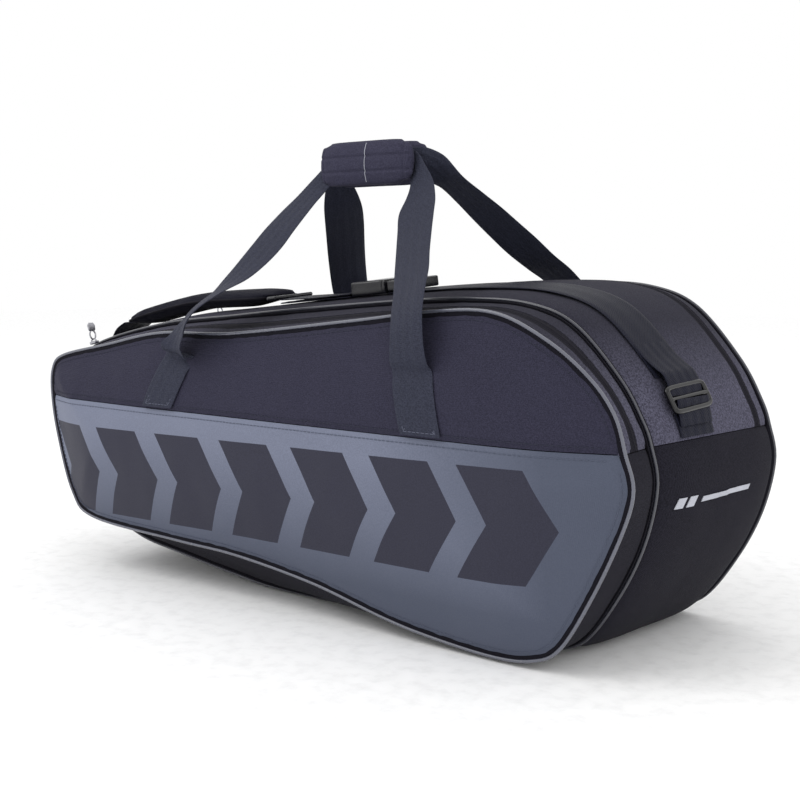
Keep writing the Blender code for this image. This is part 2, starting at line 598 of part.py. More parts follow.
def make_buckle():
    """Side-release buckle: the socket stays, the plug slides out along the strap."""
    place, turn = seat(0.0500, 0.312, 0.0130)
    along = turn.to_matrix() @ Vector((1, 0, 0))
    socket = block("buckle_socket", SOCKET_SIZE, place - along * 0.0140, PLASTIC, 0.0035, turn=turn)
    mouth = [d + c for d, c in zip(TONGUE, (0.0070, 0.0040, 0.0012))]
    cut(socket, mouth, (SOCKET_SIZE[0] / 2 - mouth[0] / 2 + 0.0010, 0, 0))
    bm = bmesh.new()
    bmesh.ops.create_cube(bm, size=1.0)
    for vert in bm.verts:
        vert.co = Vector(c * s for c, s in zip(vert.co, PLUG_SIZE))
    face = [f for f in bm.faces if f.normal.x < -0.5]
    bmesh.ops.inset_region(bm, faces=face, thickness=0.0001, use_even_offset=True)
    for vert in face[0].verts:
        vert.co.y = math.copysign(TONGUE[1] / 2, vert.co.y)
        vert.co.z = math.copysign(TONGUE[2] / 2, vert.co.z)
    prongs = bmesh.ops.extrude_discrete_faces(bm, faces=face)
    for vert in prongs["faces"][0].verts:
        vert.co.x -= TONGUE[0]
    plug = finish_mesh("buckle_plug", bm, PLASTIC, roughness=0.35, smooth=False)
    plug.location = place + along * (0.0080 + GAP + PLUG_SIZE[0] / 2)
    plug.rotation_euler = turn


def make_ladder_lock():
    """Three-bar plastic lock and the webbing loop that ties it to the seam."""
    place, turn = seat(0.3600, 0.2260, 0.0064)
    lock = block("ladder_lock", LOCK_SIZE, place, PLASTIC, 0.0012, turn=turn)
    for offset in (-0.0058, 0.0058):
        cut(lock, (0.0065, 0.0515, 0.0200), (offset, 0, 0))
    tab = strap_run((0.3600, 0.2120), (0.3680, 0.1925), ON_FABRIC)
    ribbon("strap_right_tab", tab, STRAP_WIDTH, WEBBING, WEB, spans=1)


# ---- zip sliders --------------------------------------------------------------
def make_slider(name, y, station, pull_length):
    """Zip slider standing on the coil at an outline station, with its pull."""
    line = outline(y, "upper", SLIDER_SIZE[2] / 2 + SLIDER_CLEAR)
    place = line[station]
    along = (line[station + 1] - line[station - 1]).normalized()
    normal = Vector((-along.y, along.x))
    turn = (0, -math.atan2(along.y, along.x), 0)
    block(f"{name}_slider", SLIDER_SIZE, (place.x, y, place.y), METAL, 0.0010, turn=turn, metallic=1.0)
    pivot = place + normal * (SLIDER_SIZE[2] / 2 + PULL_CLEAR)
    size = (PULL_SIZE[0], PULL_SIZE[1], pull_length)
    middle = pivot + normal * pull_length / 2
    block(f"{name}_pull", size, (middle.x, y, middle.y), METAL, 0.0005, turn=turn, metallic=1.0)
    hang(f"{name}_pull_pivot", (pivot.x, y, pivot.y), [f"{name}_pull"])


def make_sliders():
    make_slider("front_zip_upper", FRONT_ZIP_Y + SLIDER_INSET, 4, 0.020)
    make_slider("front_zip_lower", FRONT_ZIP_Y + SLIDER_INSET, 1, 0.024)
    make_slider("rear_zip", REAR_ZIP_Y - SLIDER_INSET, 5, 0.020)


# ---- pieces that move -----------------------------------------------------------
def hang(name, place, pieces):
    """Parent the named pieces to an empty on the line they turn about."""
    pivot = bpy.data.objects.new(name, None)
    bpy.context.collection.objects.link(pivot)
    pivot.location = place
    for piece in pieces:
        thing = bpy.data.objects[piece]
        thing.parent = pivot
        thing.location = thing.location - Vector(place)


def make_pivots():
    for face in ("front", "rear"):
        flap = ["gusset_strip", "zip_outer_half", "upper_panel", "piping_upper"]
        flap += ["handle_anchor_left", "handle_anchor_right"]
        hang(f"{face}_flap_hinge", (0, FLAP_Y[face], SEAM_Z), [f"{face}_{part}" for part in flap])
        loop = [f"{face}_handle_webbing", f"{face}_grip_pad"]
        hang(f"{face}_handle_pivot", (0, HANDLE_PIVOT_Y[face], PIVOT_Z), loop)
    left_end = seat(-0.3600, 0.2380, ON_FABRIC)[0]
    hang("shoulder_strap_pivot", left_end, ["strap_left_webbing", "shoulder_pad", "pad_ring"])


for old in list(bpy.data.objects):
    bpy.data.objects.remove(old)
FRONT_RIM = rim(FRONT_Y)
REAR_RIM = rim(REAR_Y)
make_body()
make_flaps()
make_anchors()
make_handles()
make_strap()
make_sliders()
make_pivots()
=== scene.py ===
import math

import bmesh
import bpy
from mathutils import Matrix, Vector, kdtree, noise
from mathutils.bvhtree import BVHTree


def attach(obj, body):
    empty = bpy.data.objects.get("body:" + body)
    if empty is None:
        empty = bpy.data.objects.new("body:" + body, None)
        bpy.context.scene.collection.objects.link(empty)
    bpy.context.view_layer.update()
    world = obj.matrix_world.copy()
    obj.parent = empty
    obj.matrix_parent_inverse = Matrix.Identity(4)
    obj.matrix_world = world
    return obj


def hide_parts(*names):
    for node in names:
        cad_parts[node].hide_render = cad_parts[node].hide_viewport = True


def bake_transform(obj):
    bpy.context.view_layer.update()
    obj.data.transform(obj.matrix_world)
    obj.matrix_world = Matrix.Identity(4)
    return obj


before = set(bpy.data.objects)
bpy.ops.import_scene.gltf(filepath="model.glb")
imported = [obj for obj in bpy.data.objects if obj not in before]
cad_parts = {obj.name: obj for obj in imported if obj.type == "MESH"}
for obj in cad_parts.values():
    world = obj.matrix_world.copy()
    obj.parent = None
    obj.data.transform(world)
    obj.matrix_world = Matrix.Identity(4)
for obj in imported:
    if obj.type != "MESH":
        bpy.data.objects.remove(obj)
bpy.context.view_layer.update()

# ---- dimensions, in metres: first the solid model's own ----
SEAM_Z = 0.19
FRONT_Y, MIDDLE_Y, REAR_Y = -0.12, -0.07, 0.125
EDGE_Y = {"front": FRONT_Y, "rear": REAR_Y}
SIDE = {"front": -1, "rear": 1}
DOME, DOME_RUN = {"front": 0.025, "rear": 0.018}, 0.1
BULGE, BULGE_SHAPE = 0.008, 5
REAR_LENGTHEN, REAR_RAISE = 0.03, 0.104
NARROW_X = -0.357
FABRIC, GAP, SEAM_GAP = 0.0025, 0.0003, 0.0004
ZIP_HALF, ZIP_THICK = 0.007, 0.0018
FRONT_ZIP_Y, REAR_ZIP_Y = -0.0968, 0.096
WEBBING, HANDLE_WIDTH, STRAP_WIDTH, STRAP_Y = 0.0022, 0.042, 0.05, -0.01
HANDLE_Y, GRIP_Z, SQUARE_RINGS = 0.0024, 0.437, 6
ANCHOR_LEAN = ((-0.155, -0.1345), (0.183, 0.1685))
GRIP_X, GRIP_LENGTH, GRIP_THICK, GRIP_HEIGHT = 0.0135, 0.117, 0.015, 0.0455
GRIP_CHANNELS, GRIP_ENDS = (-0.0085, 0.006), (-0.0375, 0.064)
FOLD_WIDTH, THREAD_LIFT, MARK_Z = 0.048, 0.0002, 0.141
# The printed row of chevrons: where it starts, its slope and how each stroke is cut.
CHEVRON_X, CHEVRON_Z, CHEVRON_SLOPE = -0.318, 0.1195, 0.0175
CHEVRONS, CHEVRON_PITCH, CHEVRON_SHARE = 7.0, 0.0945, 0.68
CHEVRON_HALF, CHEVRON_POINT = 0.0485, 0.62
# Outlines (x, z) of the front face and of the middle piping, above and below the seam.
FRONT_UPPER = [
    (-0.3565, 0.19), (-0.3535, 0.22), (-0.334, 0.234), (-0.262, 0.248),
    (-0.174, 0.264), (-0.072, 0.267), (0.083, 0.284), (0.173, 0.295),
    (0.238, 0.296), (0.29, 0.275), (0.329, 0.247), (0.351, 0.22), (0.361, 0.19),
]
FRONT_LOWER = [
    (0.361, 0.19), (0.3685, 0.162), (0.3585, 0.126), (0.333, 0.071), (0.305, 0.025),
    (0.279, 0.0105), (0.24, 0.0067), (0.174, 0.0115), (0.12, 0.0195),
    (0.034, 0.0375), (-0.069, 0.0495), (-0.155, 0.0525), (-0.289, 0.0595),
    (-0.325, 0.0835), (-0.348, 0.145), (-0.3565, 0.19),
]
MIDDLE_UPPER = [
    (-0.357, 0.19), (-0.354, 0.224), (-0.333, 0.245), (-0.223, 0.27),
    (-0.12, 0.281), (-0.051, 0.288), (0.096, 0.301), (0.182, 0.305),
    (0.241, 0.302), (0.286, 0.286), (0.329, 0.243), (0.35, 0.21), (0.358, 0.19),
]
MIDDLE_LOWER = [
    (0.358, 0.19), (0.364, 0.158), (0.354, 0.11), (0.332, 0.063), (0.3, 0.019),
    (0.265, 0.0072), (0.22, 0.0067), (0.07, 0.0067), (-0.06, 0.0067),
    (-0.12, 0.012), (-0.207, 0.023), (-0.27, 0.033), (-0.32, 0.056),
    (-0.342, 0.095), (-0.354, 0.145), (-0.357, 0.19),
]
# Each loop above its anchors: centre, direction across and, where gathered, share of the full width.
FRONT_HANDLE = [
    ((-0.131, -0.14, 0.2515), (-0.98, 0.1, 0.2), 0.88),
    ((-0.1253, -0.1415, 0.2618), (-0.75, 0.42, 0.4), 0.84),
    ((-0.1154, -0.142, 0.2741), (-0.63, 0.61, 0.38), 0.88),
    ((-0.1083, -0.1415, 0.2852), (-0.63, 0.74, 0.25)),
    ((-0.099, -0.136, 0.2965), (-0.68, 0.72, 0.1)),
    ((-0.0863, -0.122, 0.3098), (-0.82, 0.57, 0.01)),
    ((-0.0777, -0.105, 0.3234), (-0.93, 0.34, 0.1)),
    ((-0.07, -0.089, 0.3391), (-0.98, 0.18, 0.13)),
    ((-0.0655, -0.073, 0.355), (-0.99, 0.08, 0.11)),
    ((-0.0633, -0.057, 0.3712), (-1.0, 0.05, 0.06), 0.98),
    ((-0.061, -0.039, 0.3876), (-0.99, 0.12, 0.1), 0.92),
    ((-0.055, -0.022, 0.405), (-0.94, 0.26, 0.25), 0.8),
    ((-0.046, -0.0115, 0.42), (-0.75, 0.25, 0.6), 0.6),
    ((-0.036, -0.007, 0.431), (-0.4, 0.1, 0.9), 0.5),
    ((-0.024, -HANDLE_Y, GRIP_Z), (0.0, 0.0, 1.0), 0.7),
    ((0.006, -HANDLE_Y, GRIP_Z), (0.0, 0.0, 1.0), 0.85),
    ((0.032, -HANDLE_Y, GRIP_Z), (0.0, 0.0, 1.0), 0.85),
    ((0.054, -HANDLE_Y, GRIP_Z), (0.0, 0.0, 1.0), 0.75),
    ((0.068, -0.0045, 0.4335), (0.25, 0.0, 0.95), 0.55),
    ((0.0775, -0.0105, 0.4215), (0.65, 0.0, 0.75), 0.65),
    ((0.086, -0.02, 0.4077), (0.83, 0.07, 0.5), 0.85),
    ((0.0951, -0.036, 0.3919), (0.91, 0.15, 0.39)),
    ((0.1056, -0.052, 0.3764), (0.88, 0.16, 0.44)),
    ((0.1161, -0.068, 0.3613), (0.87, 0.14, 0.48)),
    ((0.1322, -0.092, 0.3396), (0.85, 0.12, 0.52)),
    ((0.1449, -0.11, 0.3239), (0.85, 0.09, 0.51)),
    ((0.1554, -0.128, 0.3071), (0.88, -0.02, 0.48)),
    ((0.1625, -0.14, 0.2905), (0.92, -0.15, 0.34)),
    ((0.166, -0.1445, 0.2737), (0.98, -0.18, 0.1)),
    ((0.1672, -0.144, 0.256), (0.99, -0.08, 0.05)),
]
REAR_HANDLE = [
    ((-0.1345, 0.1445, 0.251), (-1.0, 0.0, 0.0)),
    ((-0.1352, 0.147, 0.27), (-0.97, -0.2, 0.0)),
    ((-0.1365, 0.145, 0.292), (-0.85, -0.5, 0.0)),
    ((-0.1339, 0.136, 0.3104), (-0.76, -0.64, -0.05)),
    ((-0.1207, 0.117, 0.3293), (-0.76, -0.64, -0.11)),
    ((-0.1041, 0.095, 0.3475), (-0.76, -0.65, -0.07)),
    ((-0.0867, 0.073, 0.365), (-0.75, -0.65, -0.07)),
    ((-0.0692, 0.051, 0.3817), (-0.75, -0.65, -0.07)),
    ((-0.054, 0.031, 0.3977), (-0.75, -0.6, 0.05), 0.96),
    ((-0.043, 0.016, 0.414), (-0.7, -0.55, 0.4), 0.8),
    ((-0.037, 0.0085, 0.427), (-0.4, -0.2, 0.85), 0.55),
    ((-0.024, HANDLE_Y, GRIP_Z), (0.0, 0.0, 1.0), 0.7),
    ((0.006, HANDLE_Y, GRIP_Z), (0.0, 0.0, 1.0), 0.85),
    ((0.032, HANDLE_Y, GRIP_Z), (0.0, 0.0, 1.0), 0.85),
    ((0.056, HANDLE_Y, GRIP_Z), (0.0, 0.0, 1.0), 0.7),
    ((0.07, 0.0042, 0.4385), (0.15, 0.0, 0.95), 0.6),
    ((0.079, 0.01, 0.4325), (0.45, -0.2, 0.85), 0.75),
    ((0.086, 0.0175, 0.4245), (0.75, -0.38, 0.5), 0.9),
    ((0.0925, 0.026, 0.416), (0.86, -0.44, 0.25)),
    ((0.1017, 0.042, 0.402), (0.93, -0.3, 0.2)),
    ((0.1105, 0.06, 0.3867), (0.94, -0.22, 0.27)),
    ((0.1191, 0.078, 0.3711), (0.93, -0.19, 0.32)),
    ((0.1286, 0.096, 0.3552), (0.91, -0.19, 0.37)),
    ((0.1396, 0.114, 0.339), (0.9, -0.27, 0.34)),
    ((0.1522, 0.132, 0.3227), (0.92, -0.25, 0.25)),
    ((0.163, 0.143, 0.3), (1.0, 0.0, 0.0)),
    ((0.1665, 0.1465, 0.275), (1.0, 0.0, 0.0)),
    ((0.1682, 0.145, 0.254), (1.0, 0.0, 0.0)),
]

UPPER_STEPS, LOWER_STEPS, PANEL_ROWS = 190, 170, 46


# ---- materials ----
def srgb(r, g, b):
    """Linear colour from 0-255 display values."""
    def linear(c):
        c /= 255
        return c / 12.92 if c <= 0.04045 else ((c + 0.055) / 1.055) ** 2.4
    return (linear(r), linear(g), linear(b), 1.0)


class Nodes:
    """Small helper for building a material's nodes."""

    def __init__(self, name, roughness=0.8, metallic=0.0, sheen=0.0, coat=0.0, specular=0.5):
        self.material = bpy.data.materials.new(name)
        self.material.use_nodes = True
        self.tree = self.material.node_tree
        self.shader = self.tree.nodes["Principled BSDF"]
        for key, value in (
            ("Roughness", roughness), ("Metallic", metallic), ("Specular IOR Level", specular),
            ("Sheen Weight", sheen), ("Sheen Roughness", 0.45),
            ("Coat Weight", coat), ("Coat Roughness", 0.25),
        ):
            self.shader.inputs[key].default_value = value
        self.place = self.add("TexCoord", {})["Object"]

    def put(self, target, value):
        """Link a socket into another, or set it to a constant."""
        if hasattr(value, "is_output"):
            self.tree.links.new(value, target)
        else:
            target.default_value = value

    def add(self, kind, inputs, **settings):
        """The outputs of a new node with those inputs and settings."""
        node = self.tree.nodes.new("ShaderNode" + kind)
        for key, value in settings.items():
            setattr(node, key, value)
        for key, value in inputs.items():
            self.put(node.inputs[key], value)
        return node.outputs

    def math(self, operation, a, b=0.0, c=0.0):
        return self.add("Math", {0: a, 1: b, 2: c}, operation=operation)[0]

    def axes(self):
        return self.add("SeparateXYZ", {0: self.place})

    def noise(self, scale, detail=2.0, roughness=0.5, stretch=None):
        where = self.mapped(scale=stretch) if stretch else self.place
        inputs = {"Scale": scale, "Detail": detail, "Roughness": roughness, "Vector": where}
        return self.add("TexNoise", inputs)["Fac"]

    def mapped(self, turn=(0, 0, 0), scale=(1, 1, 1)):
        return self.add("Mapping", {"Rotation": turn, "Scale": scale, "Vector": self.place})[0]

    def wave(self, spacing, turn):
        """Parallel ridges that far apart, 0 in the valleys and 1 on the crests."""
        inputs = {"Scale": math.pi / 10 / spacing, "Vector": self.mapped(turn=turn)}
        return self.add("TexWave", inputs, wave_type="BANDS", bands_direction="X", wave_profile="SIN")["Fac"]

    def ramp(self, factor, low, high):
        """0 below low, 1 above high, and even between."""
        return self.add("MapRange", {"From Min": low, "From Max": high, "Value": factor})["Result"]

    def mix(self, factor, a, b):
        return self.add("Mix", {0: factor, 6: a, 7: b}, data_type="RGBA")[2]

    def colour(self, value):
        self.put(self.shader.inputs["Base Color"], value)

    def bump(self, height, strength, distance):
        inputs = {"Strength": strength, "Distance": distance, "Height": height}
        self.put(self.shader.inputs["Normal"], self.add("Bump", inputs)["Normal"])

    def weave(self, spacing):
        """Plain weave: two sets of ridges that cross on any face of the bag."""
        warp = self.wave(spacing, (0.0, 0.0, math.radians(35)))
        weft = self.wave(spacing, (0.0, math.radians(90), math.radians(35)))
        return self.math("MULTIPLY", warp, weft)


def tone(colour, factor):
    """A colour made darker or lighter."""
    return (*(c * factor for c in colour[:3]), 1.0)


def cloth_material(name, colour, spacing=0.0011, heather=0.25, rough=0.8, bump=0.5, painted_shade_heights=None, yarn=900):
    """Woven fabric with a mottled yarn and a slow drift of tone; where heights are given, painted shade darkens
    its top above them.
    """
    n = Nodes(name, roughness=rough, sheen=0.03, specular=0.05)
    fleck = n.ramp(n.noise(yarn, 2.0, 0.6), 0.38, 0.62)
    drift = n.ramp(n.noise(9, 3.0, 0.5), 0.3, 0.7)
    flecked = n.mix(fleck, tone(colour, 1 - heather), tone(colour, 1 + heather))
    tone_drift_and_shade = n.mix(n.math("MULTIPLY", drift, 0.22), flecked, tone(colour, 1.35))
    # Painted shade: the top turns darker between the two given heights. This stands in for shade and is not a
    # colour of the cloth.
    if painted_shade_heights:
        top = n.ramp(n.axes()[2], painted_shade_heights[0], painted_shade_heights[1])
        tone_drift_and_shade = n.mix(n.math("MULTIPLY", top, 0.85), tone_drift_and_shade, tone(colour, 0.28))
    n.colour(tone_drift_and_shade)
    n.bump(n.weave(spacing), bump, 0.0004)
    return n.material


def webbing_material(name, colour, rough=0.62):
    """Narrow woven strap: fine flecks and a close, deep weave."""
    n = Nodes(name, roughness=rough, sheen=0.02, specular=0.07)
    fleck = n.ramp(n.noise(700, 2.0, 0.6), 0.35, 0.65)
    n.colour(n.mix(fleck, tone(colour, 0.78), tone(colour, 1.25)))
    n.bump(n.weave(0.0013), 0.6, 0.0004)
    return n.material


def plain_material(name, colour, rough, metallic=0.0, coat=0.0, grain=0.0, specular=0.5):
    """Moulded plastic, coated cord or metal with faint surface grain."""
    n = Nodes(name, roughness=rough, metallic=metallic, coat=coat, specular=specular)
    cloud = n.noise(60, 3.0, 0.6)
    n.colour(n.mix(cloud, tone(colour, 0.85), tone(colour, 1.15)))
    n.put(n.shader.inputs["Roughness"], n.math("MULTIPLY_ADD", cloud, 0.15, rough - 0.07))
    n.bump(n.noise(1500, 2.0, 0.5), grain, 0.0001)
    return n.material


def panel_material(name):
    """Blue-grey coated fabric with a dark printed row of chevrons, painted shade towards its bottom and right
    end, and painted sheen in soft patches on its upper part.
    """
    n = Nodes(name, roughness=0.5, specular=0.14)
    x, _, z = n.axes()
    middle = n.math("MULTIPLY_ADD", x, CHEVRON_SLOPE, CHEVRON_Z)
    reach = n.math("ABSOLUTE", n.math("SUBTRACT", z, middle))
    along = n.math("ADD", n.math("SUBTRACT", x, CHEVRON_X), n.math("MULTIPLY", reach, CHEVRON_POINT))
    count = n.math("DIVIDE", along, CHEVRON_PITCH)
    stroke = n.math("LESS_THAN", n.math("FRACT", count), CHEVRON_SHARE)
    for test, value, limit in (
        ("LESS_THAN", reach, CHEVRON_HALF), ("GREATER_THAN", count, 0.0), ("LESS_THAN", count, CHEVRONS),
    ):
        stroke = n.math("MULTIPLY", stroke, n.math(test, value, limit))
    fleck = n.ramp(n.noise(900, 2.0, 0.6), 0.35, 0.65)
    ground = n.mix(fleck, GREY_LOW, GREY_HIGH)
    # Painted shade: the panel turns darker towards its bottom and its right end, where less light falls.
    low = n.math("SUBTRACT", 1.0, n.ramp(z, 0.045, 0.165))
    shade = n.math("MAXIMUM", low, n.ramp(x, 0.12, 0.3))
    ground = n.mix(n.math("MULTIPLY", shade, 0.75), ground, GREY_PAINTED_SHADE)
    # Painted sheen: soft lighter patches, mostly away from the painted shade, stand in for light reflected off
    # the coating.
    drift = n.ramp(n.noise(6, 1.5, 0.4, (1.0, 1.0, 1.6)), 0.3, 0.85)
    painted_sheen_mask = n.math("MULTIPLY", drift, n.math("SUBTRACT", 1.0, shade))
    ground = n.mix(n.math("MULTIPLY", painted_sheen_mask, 0.45), ground, GREY_PAINTED_SHEEN)
    ground = n.mix(n.math("MULTIPLY", drift, 0.1), ground, GREY_PAINTED_SHEEN)
    print_tone = n.mix(fleck, tone(PRINT, 0.9), tone(PRINT, 1.1))
    n.colour(n.mix(stroke, ground, print_tone))
    n.bump(n.weave(0.001), 0.35, 0.0003)
    return n.material


GREY_HIGH = srgb(117, 122, 141)
GREY_LOW = srgb(106, 111, 129)
# Painted shade colour of the grey panel, not a colour of its cloth.
GREY_PAINTED_SHADE = srgb(55, 61, 76)
# Painted sheen colour of the grey panel, a painted highlight and not a colour of its cloth.
GREY_PAINTED_SHEEN = srgb(122, 128, 146)
PRINT = srgb(50, 50, 63)

MAT = {
    "panel_print": panel_material("grey_coated_fabric"),
    "panel_dark": cloth_material("dark_coated_fabric", srgb(48, 47, 62), heather=0.22, rough=0.62),
    # The heathered gusset cloth gets painted shade on its top, between the two heights given.
    "heather": cloth_material("heathered_weave", srgb(76, 75, 90), heather=0.45, rough=0.85,
                              painted_shade_heights=(0.225, 0.288), yarn=640),
    "deep": cloth_material("near_black_weave", srgb(31, 30, 38), heather=0.35, rough=0.85, yarn=800),
    "lining": cloth_material("lining", srgb(60, 60, 70), heather=0.1, rough=0.7, bump=0.25),
    "tape": cloth_material("zip_tape", srgb(30, 29, 36), spacing=0.0008, heather=0.15, rough=0.75),
    "web": webbing_material("ribbed_webbing", srgb(50, 52, 65)),
    "web_dark": webbing_material("smooth_dark_webbing", srgb(28, 29, 41), 0.48),
    "grip": cloth_material("grip_weave", srgb(56, 55, 71), heather=0.25, rough=0.75),
    "pad": cloth_material("strap_pad_weave", srgb(30, 30, 39), heather=0.25, rough=0.8),
    "thread": plain_material("thread", srgb(52, 53, 66), 0.7, specular=0.1),
    "panel_thread": plain_material("panel_thread", srgb(84, 89, 105), 0.7, specular=0.1),
    "pale_thread": plain_material("pale_thread", srgb(92, 95, 110), 0.7, specular=0.1),
    # The front cord's light grey is a painted highlight along a dark glossy cord; the dark cord below is the
    # cord's own colour.
    "piping": plain_material("coated_cord", srgb(88, 90, 102), 0.26, coat=0.6, grain=0.2),
    "dark_piping": plain_material("dark_coated_cord", srgb(50, 51, 61), 0.3, coat=0.6, grain=0.2),
    "binding": cloth_material("binding_tape", srgb(22, 21, 28), heather=0.15, rough=0.7),
    "plastic": plain_material("moulded_plastic", srgb(24, 24, 29), 0.24, grain=0.2),
    "lock_plastic": plain_material("glossy_plastic", srgb(11, 11, 14), 0.14, grain=0.1),
    "metal": plain_material("plated_metal", srgb(168, 168, 174), 0.3, metallic=1.0),
    "mark": plain_material("end_mark", srgb(176, 178, 188), 0.5),
}


# ---- curves ----
def catmull(points, closed, spans):
    """Smooth curve through the points, with the same number of steps in each span."""
    count = len(points)
    result = []
    for i in range(count if closed else count - 1):
        if closed:
            a, b, c, d = (points[(i + k) % count] for k in (-1, 0, 1, 2))
        else:
            a, b = points[max(i - 1, 0)], points[i]
            c, d = points[i + 1], points[min(i + 2, count - 1)]
        for step in range(spans):
            t = step / spans
            bend = 2 * b + (c - a) * t + (2 * a - 5 * b + 4 * c - d) * t ** 2
            result.append(0.5 * (bend + (3 * b - a - 3 * c + d) * t ** 3))
    if not closed:
        result.append(points[-1].copy())
    return result


def resample(points, count, trim=0.0):
    """Points evenly spaced along a polyline, starting and ending a little inside it."""
    lengths = [0.0]
    for a, b in zip(points, points[1:]):
        lengths.append(lengths[-1] + (b - a).length)
    result = []
    at = 0
    for i in range(count):
        wanted = trim + (lengths[-1] - 2 * trim) * i / (count - 1)
        while at < len(points) - 2 and lengths[at + 1] < wanted:
            at += 1
        share = (wanted - lengths[at]) / max(lengths[at + 1] - lengths[at], 1e-9)
        result.append(points[at].lerp(points[at + 1], share))
    return result


def spread(first, last, count):
    """That many even values from first to last."""
    return [first + (last - first) * i / (count - 1) for i in range(count)]


def blended_keys(front, middle, y):
    """Outline points at depth y, before the gusset's swelling."""
    if y <= MIDDLE_Y:
        share = (y - FRONT_Y) / (MIDDLE_Y - FRONT_Y)
        return [Vector(a).lerp(Vector(b), share) for a, b in zip(front, middle)]
    share = (y - MIDDLE_Y) / (REAR_Y - MIDDLE_Y)
    keys = []
    for x, z in middle:
        longer = x + (x - NARROW_X) * REAR_LENGTHEN * share
        keys.append(Vector((longer, z + max(0.0, z - SEAM_Z) * REAR_RAISE * share)))
    return keys


def outward(points):
    """Unit normals on the left of a flat polyline."""
    last = len(points) - 1
    normals = []
    for i in range(len(points)):
        along = points[min(i + 1, last)] - points[max(i - 1, 0)]
        normals.append(Vector((-along.y, along.x)).normalized())
    return normals


def swelling(y):
    """How far the gusset stands out at depth y."""
    if y <= MIDDLE_Y or y >= REAR_Y:
        return 0.0
    t = (y - MIDDLE_Y) / (REAR_Y - MIDDLE_Y)
    return BULGE * (1 - abs(2 * t - 1) ** BULGE_SHAPE)


def outline(y, which, lift=0.0, trim=SEAM_GAP, steps=0):
    """Points (x, z) of the fabric's outer face at depth y, raised outwards by lift."""
    upper = blended_keys(FRONT_UPPER, MIDDLE_UPPER, y)
    lower = blended_keys(FRONT_LOWER, MIDDLE_LOWER, y)
    spans = 12
    loop = catmull(upper[:-1] + lower[:-1], True, spans)
    turn = (len(upper) - 1) * spans
    if which == "upper":
        line = resample(loop[:turn + 1], steps or UPPER_STEPS, trim)
    else:
        line = resample(loop[turn:] + [loop[0]], steps or LOWER_STEPS, trim)
    offset = swelling(y) + lift
    moved = [p + n * offset for p, n in zip(line, outward(line))]
    return [Vector((p.x, max(p.y, max(0.0, -lift)))) for p in moved]


def outline_3d(y, which, lift=0.0, trim=SEAM_GAP, steps=0):
    """The same outline as points in space."""
    return [Vector((p.x, y, p.y)) for p in outline(y, which, lift, trim, steps)]


def rim_tree(y):
    """Search tree over the closed rim of the face at depth y."""
    points = outline(y, "upper", trim=0.0, steps=900) + outline(y, "lower", trim=0.0, steps=900)
    tree = kdtree.KDTree(len(points))
    for i, p in enumerate(points):
        tree.insert((p.x, p.y, 0.0), i)
    tree.balance()
    return tree


RIM = {face: rim_tree(y) for face, y in EDGE_Y.items()}


def rim_distance(x, z, face):
    """How far (x, z) lies from the rim of a face."""
    return RIM[face].find((x, z, 0.0))[2]


def face_y(x, z, face):
    """Depth of the front or rear face at (x, z)."""
    share = math.sin(0.5 * math.pi * min(1.0, rim_distance(x, z, face) / DOME_RUN))
    return EDGE_Y[face] + SIDE[face] * DOME[face] * share


def near(distance, width):
    """1 at a seam, fading to 0 over about the given width."""
    return math.exp(-(distance / width) ** 2)


def crumple(x, y, z, coarse, fine):
    """Slow hollows and finer creases, in metres."""
    slow = noise.noise(Vector((x * 9, y * 9, z * 11)))
    quick = noise.noise(Vector((x * 34 + 7, y * 34, z * 30 + 3)))
    return coarse * slow + fine * quick


# ---- meshes ----
def linked(name, data):
    """A new object in the scene that holds the data."""
    thing = bpy.data.objects.new(name, data)
    bpy.context.collection.objects.link(thing)
    return thing


def add_mesh(name, verts, faces, materials, indices=None, crease=38):
    """A new object from plain mesh data, with outward faces."""
    mesh = bpy.data.meshes.new(name)
    mesh.from_pydata([tuple(v) for v in verts], [], faces)
    for material in materials:
        mesh.materials.append(material)
    if indices:
        mesh.polygons.foreach_set("material_index", indices)
    bm = bmesh.new()
    bm.from_mesh(mesh)
    bmesh.ops.remove_doubles(bm, verts=bm.verts, dist=0.00002)
    bmesh.ops.recalc_face_normals(bm, faces=bm.faces)
    bm.to_mesh(mesh)
    bm.free()
    mesh.shade_smooth()
    mesh.set_sharp_from_angle(angle=math.radians(crease))
    return linked(name, mesh)


def settle(thing, body, slot, *nodes):
    """Put a finished piece on its body, in place of its solids; the slot is not used."""
    if isinstance(body, str):
        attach(thing, body)
    else:
        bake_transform(thing)
    if nodes:
        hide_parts(*nodes)


def add_piece(name, part, material, body, slot, *nodes):
    """Add a mesh of one material and settle it."""
    settle(add_mesh(name, *part, [MAT[material]]), body, slot, *nodes)


def grid_shell(name, outer, inner, materials):
    """Closed wall between two grids of points: face material first, then lining."""
    rows, cols = len(outer), len(outer[0])
    verts = [p for row in outer for p in row] + [p for row in inner for p in row]
    half = rows * cols
    faces, indices = [], []

    def quad(a, b, c, d, slot):
        faces.append((a, b, c, d))
        indices.append(slot)

    for r in range(rows - 1):
        for c in range(cols - 1):
            a = r * cols + c
            quad(a, a + 1, a + cols + 1, a + cols, 0)
            quad(half + a, half + a + cols, half + a + cols + 1, half + a + 1, 1)
    for r in range(rows - 1):
        a, b = r * cols, r * cols + cols - 1
        quad(a, a + cols, half + a + cols, half + a, 0)
        quad(b, half + b, half + b + cols, b + cols, 0)
    last = (rows - 1) * cols
    for c in range(cols - 1):
        quad(c, half + c, half + c + 1, c + 1, 0)
        quad(last + c, last + c + 1, half + last + c + 1, half + last + c, 0)
    return add_mesh(name, verts, faces, materials, indices)


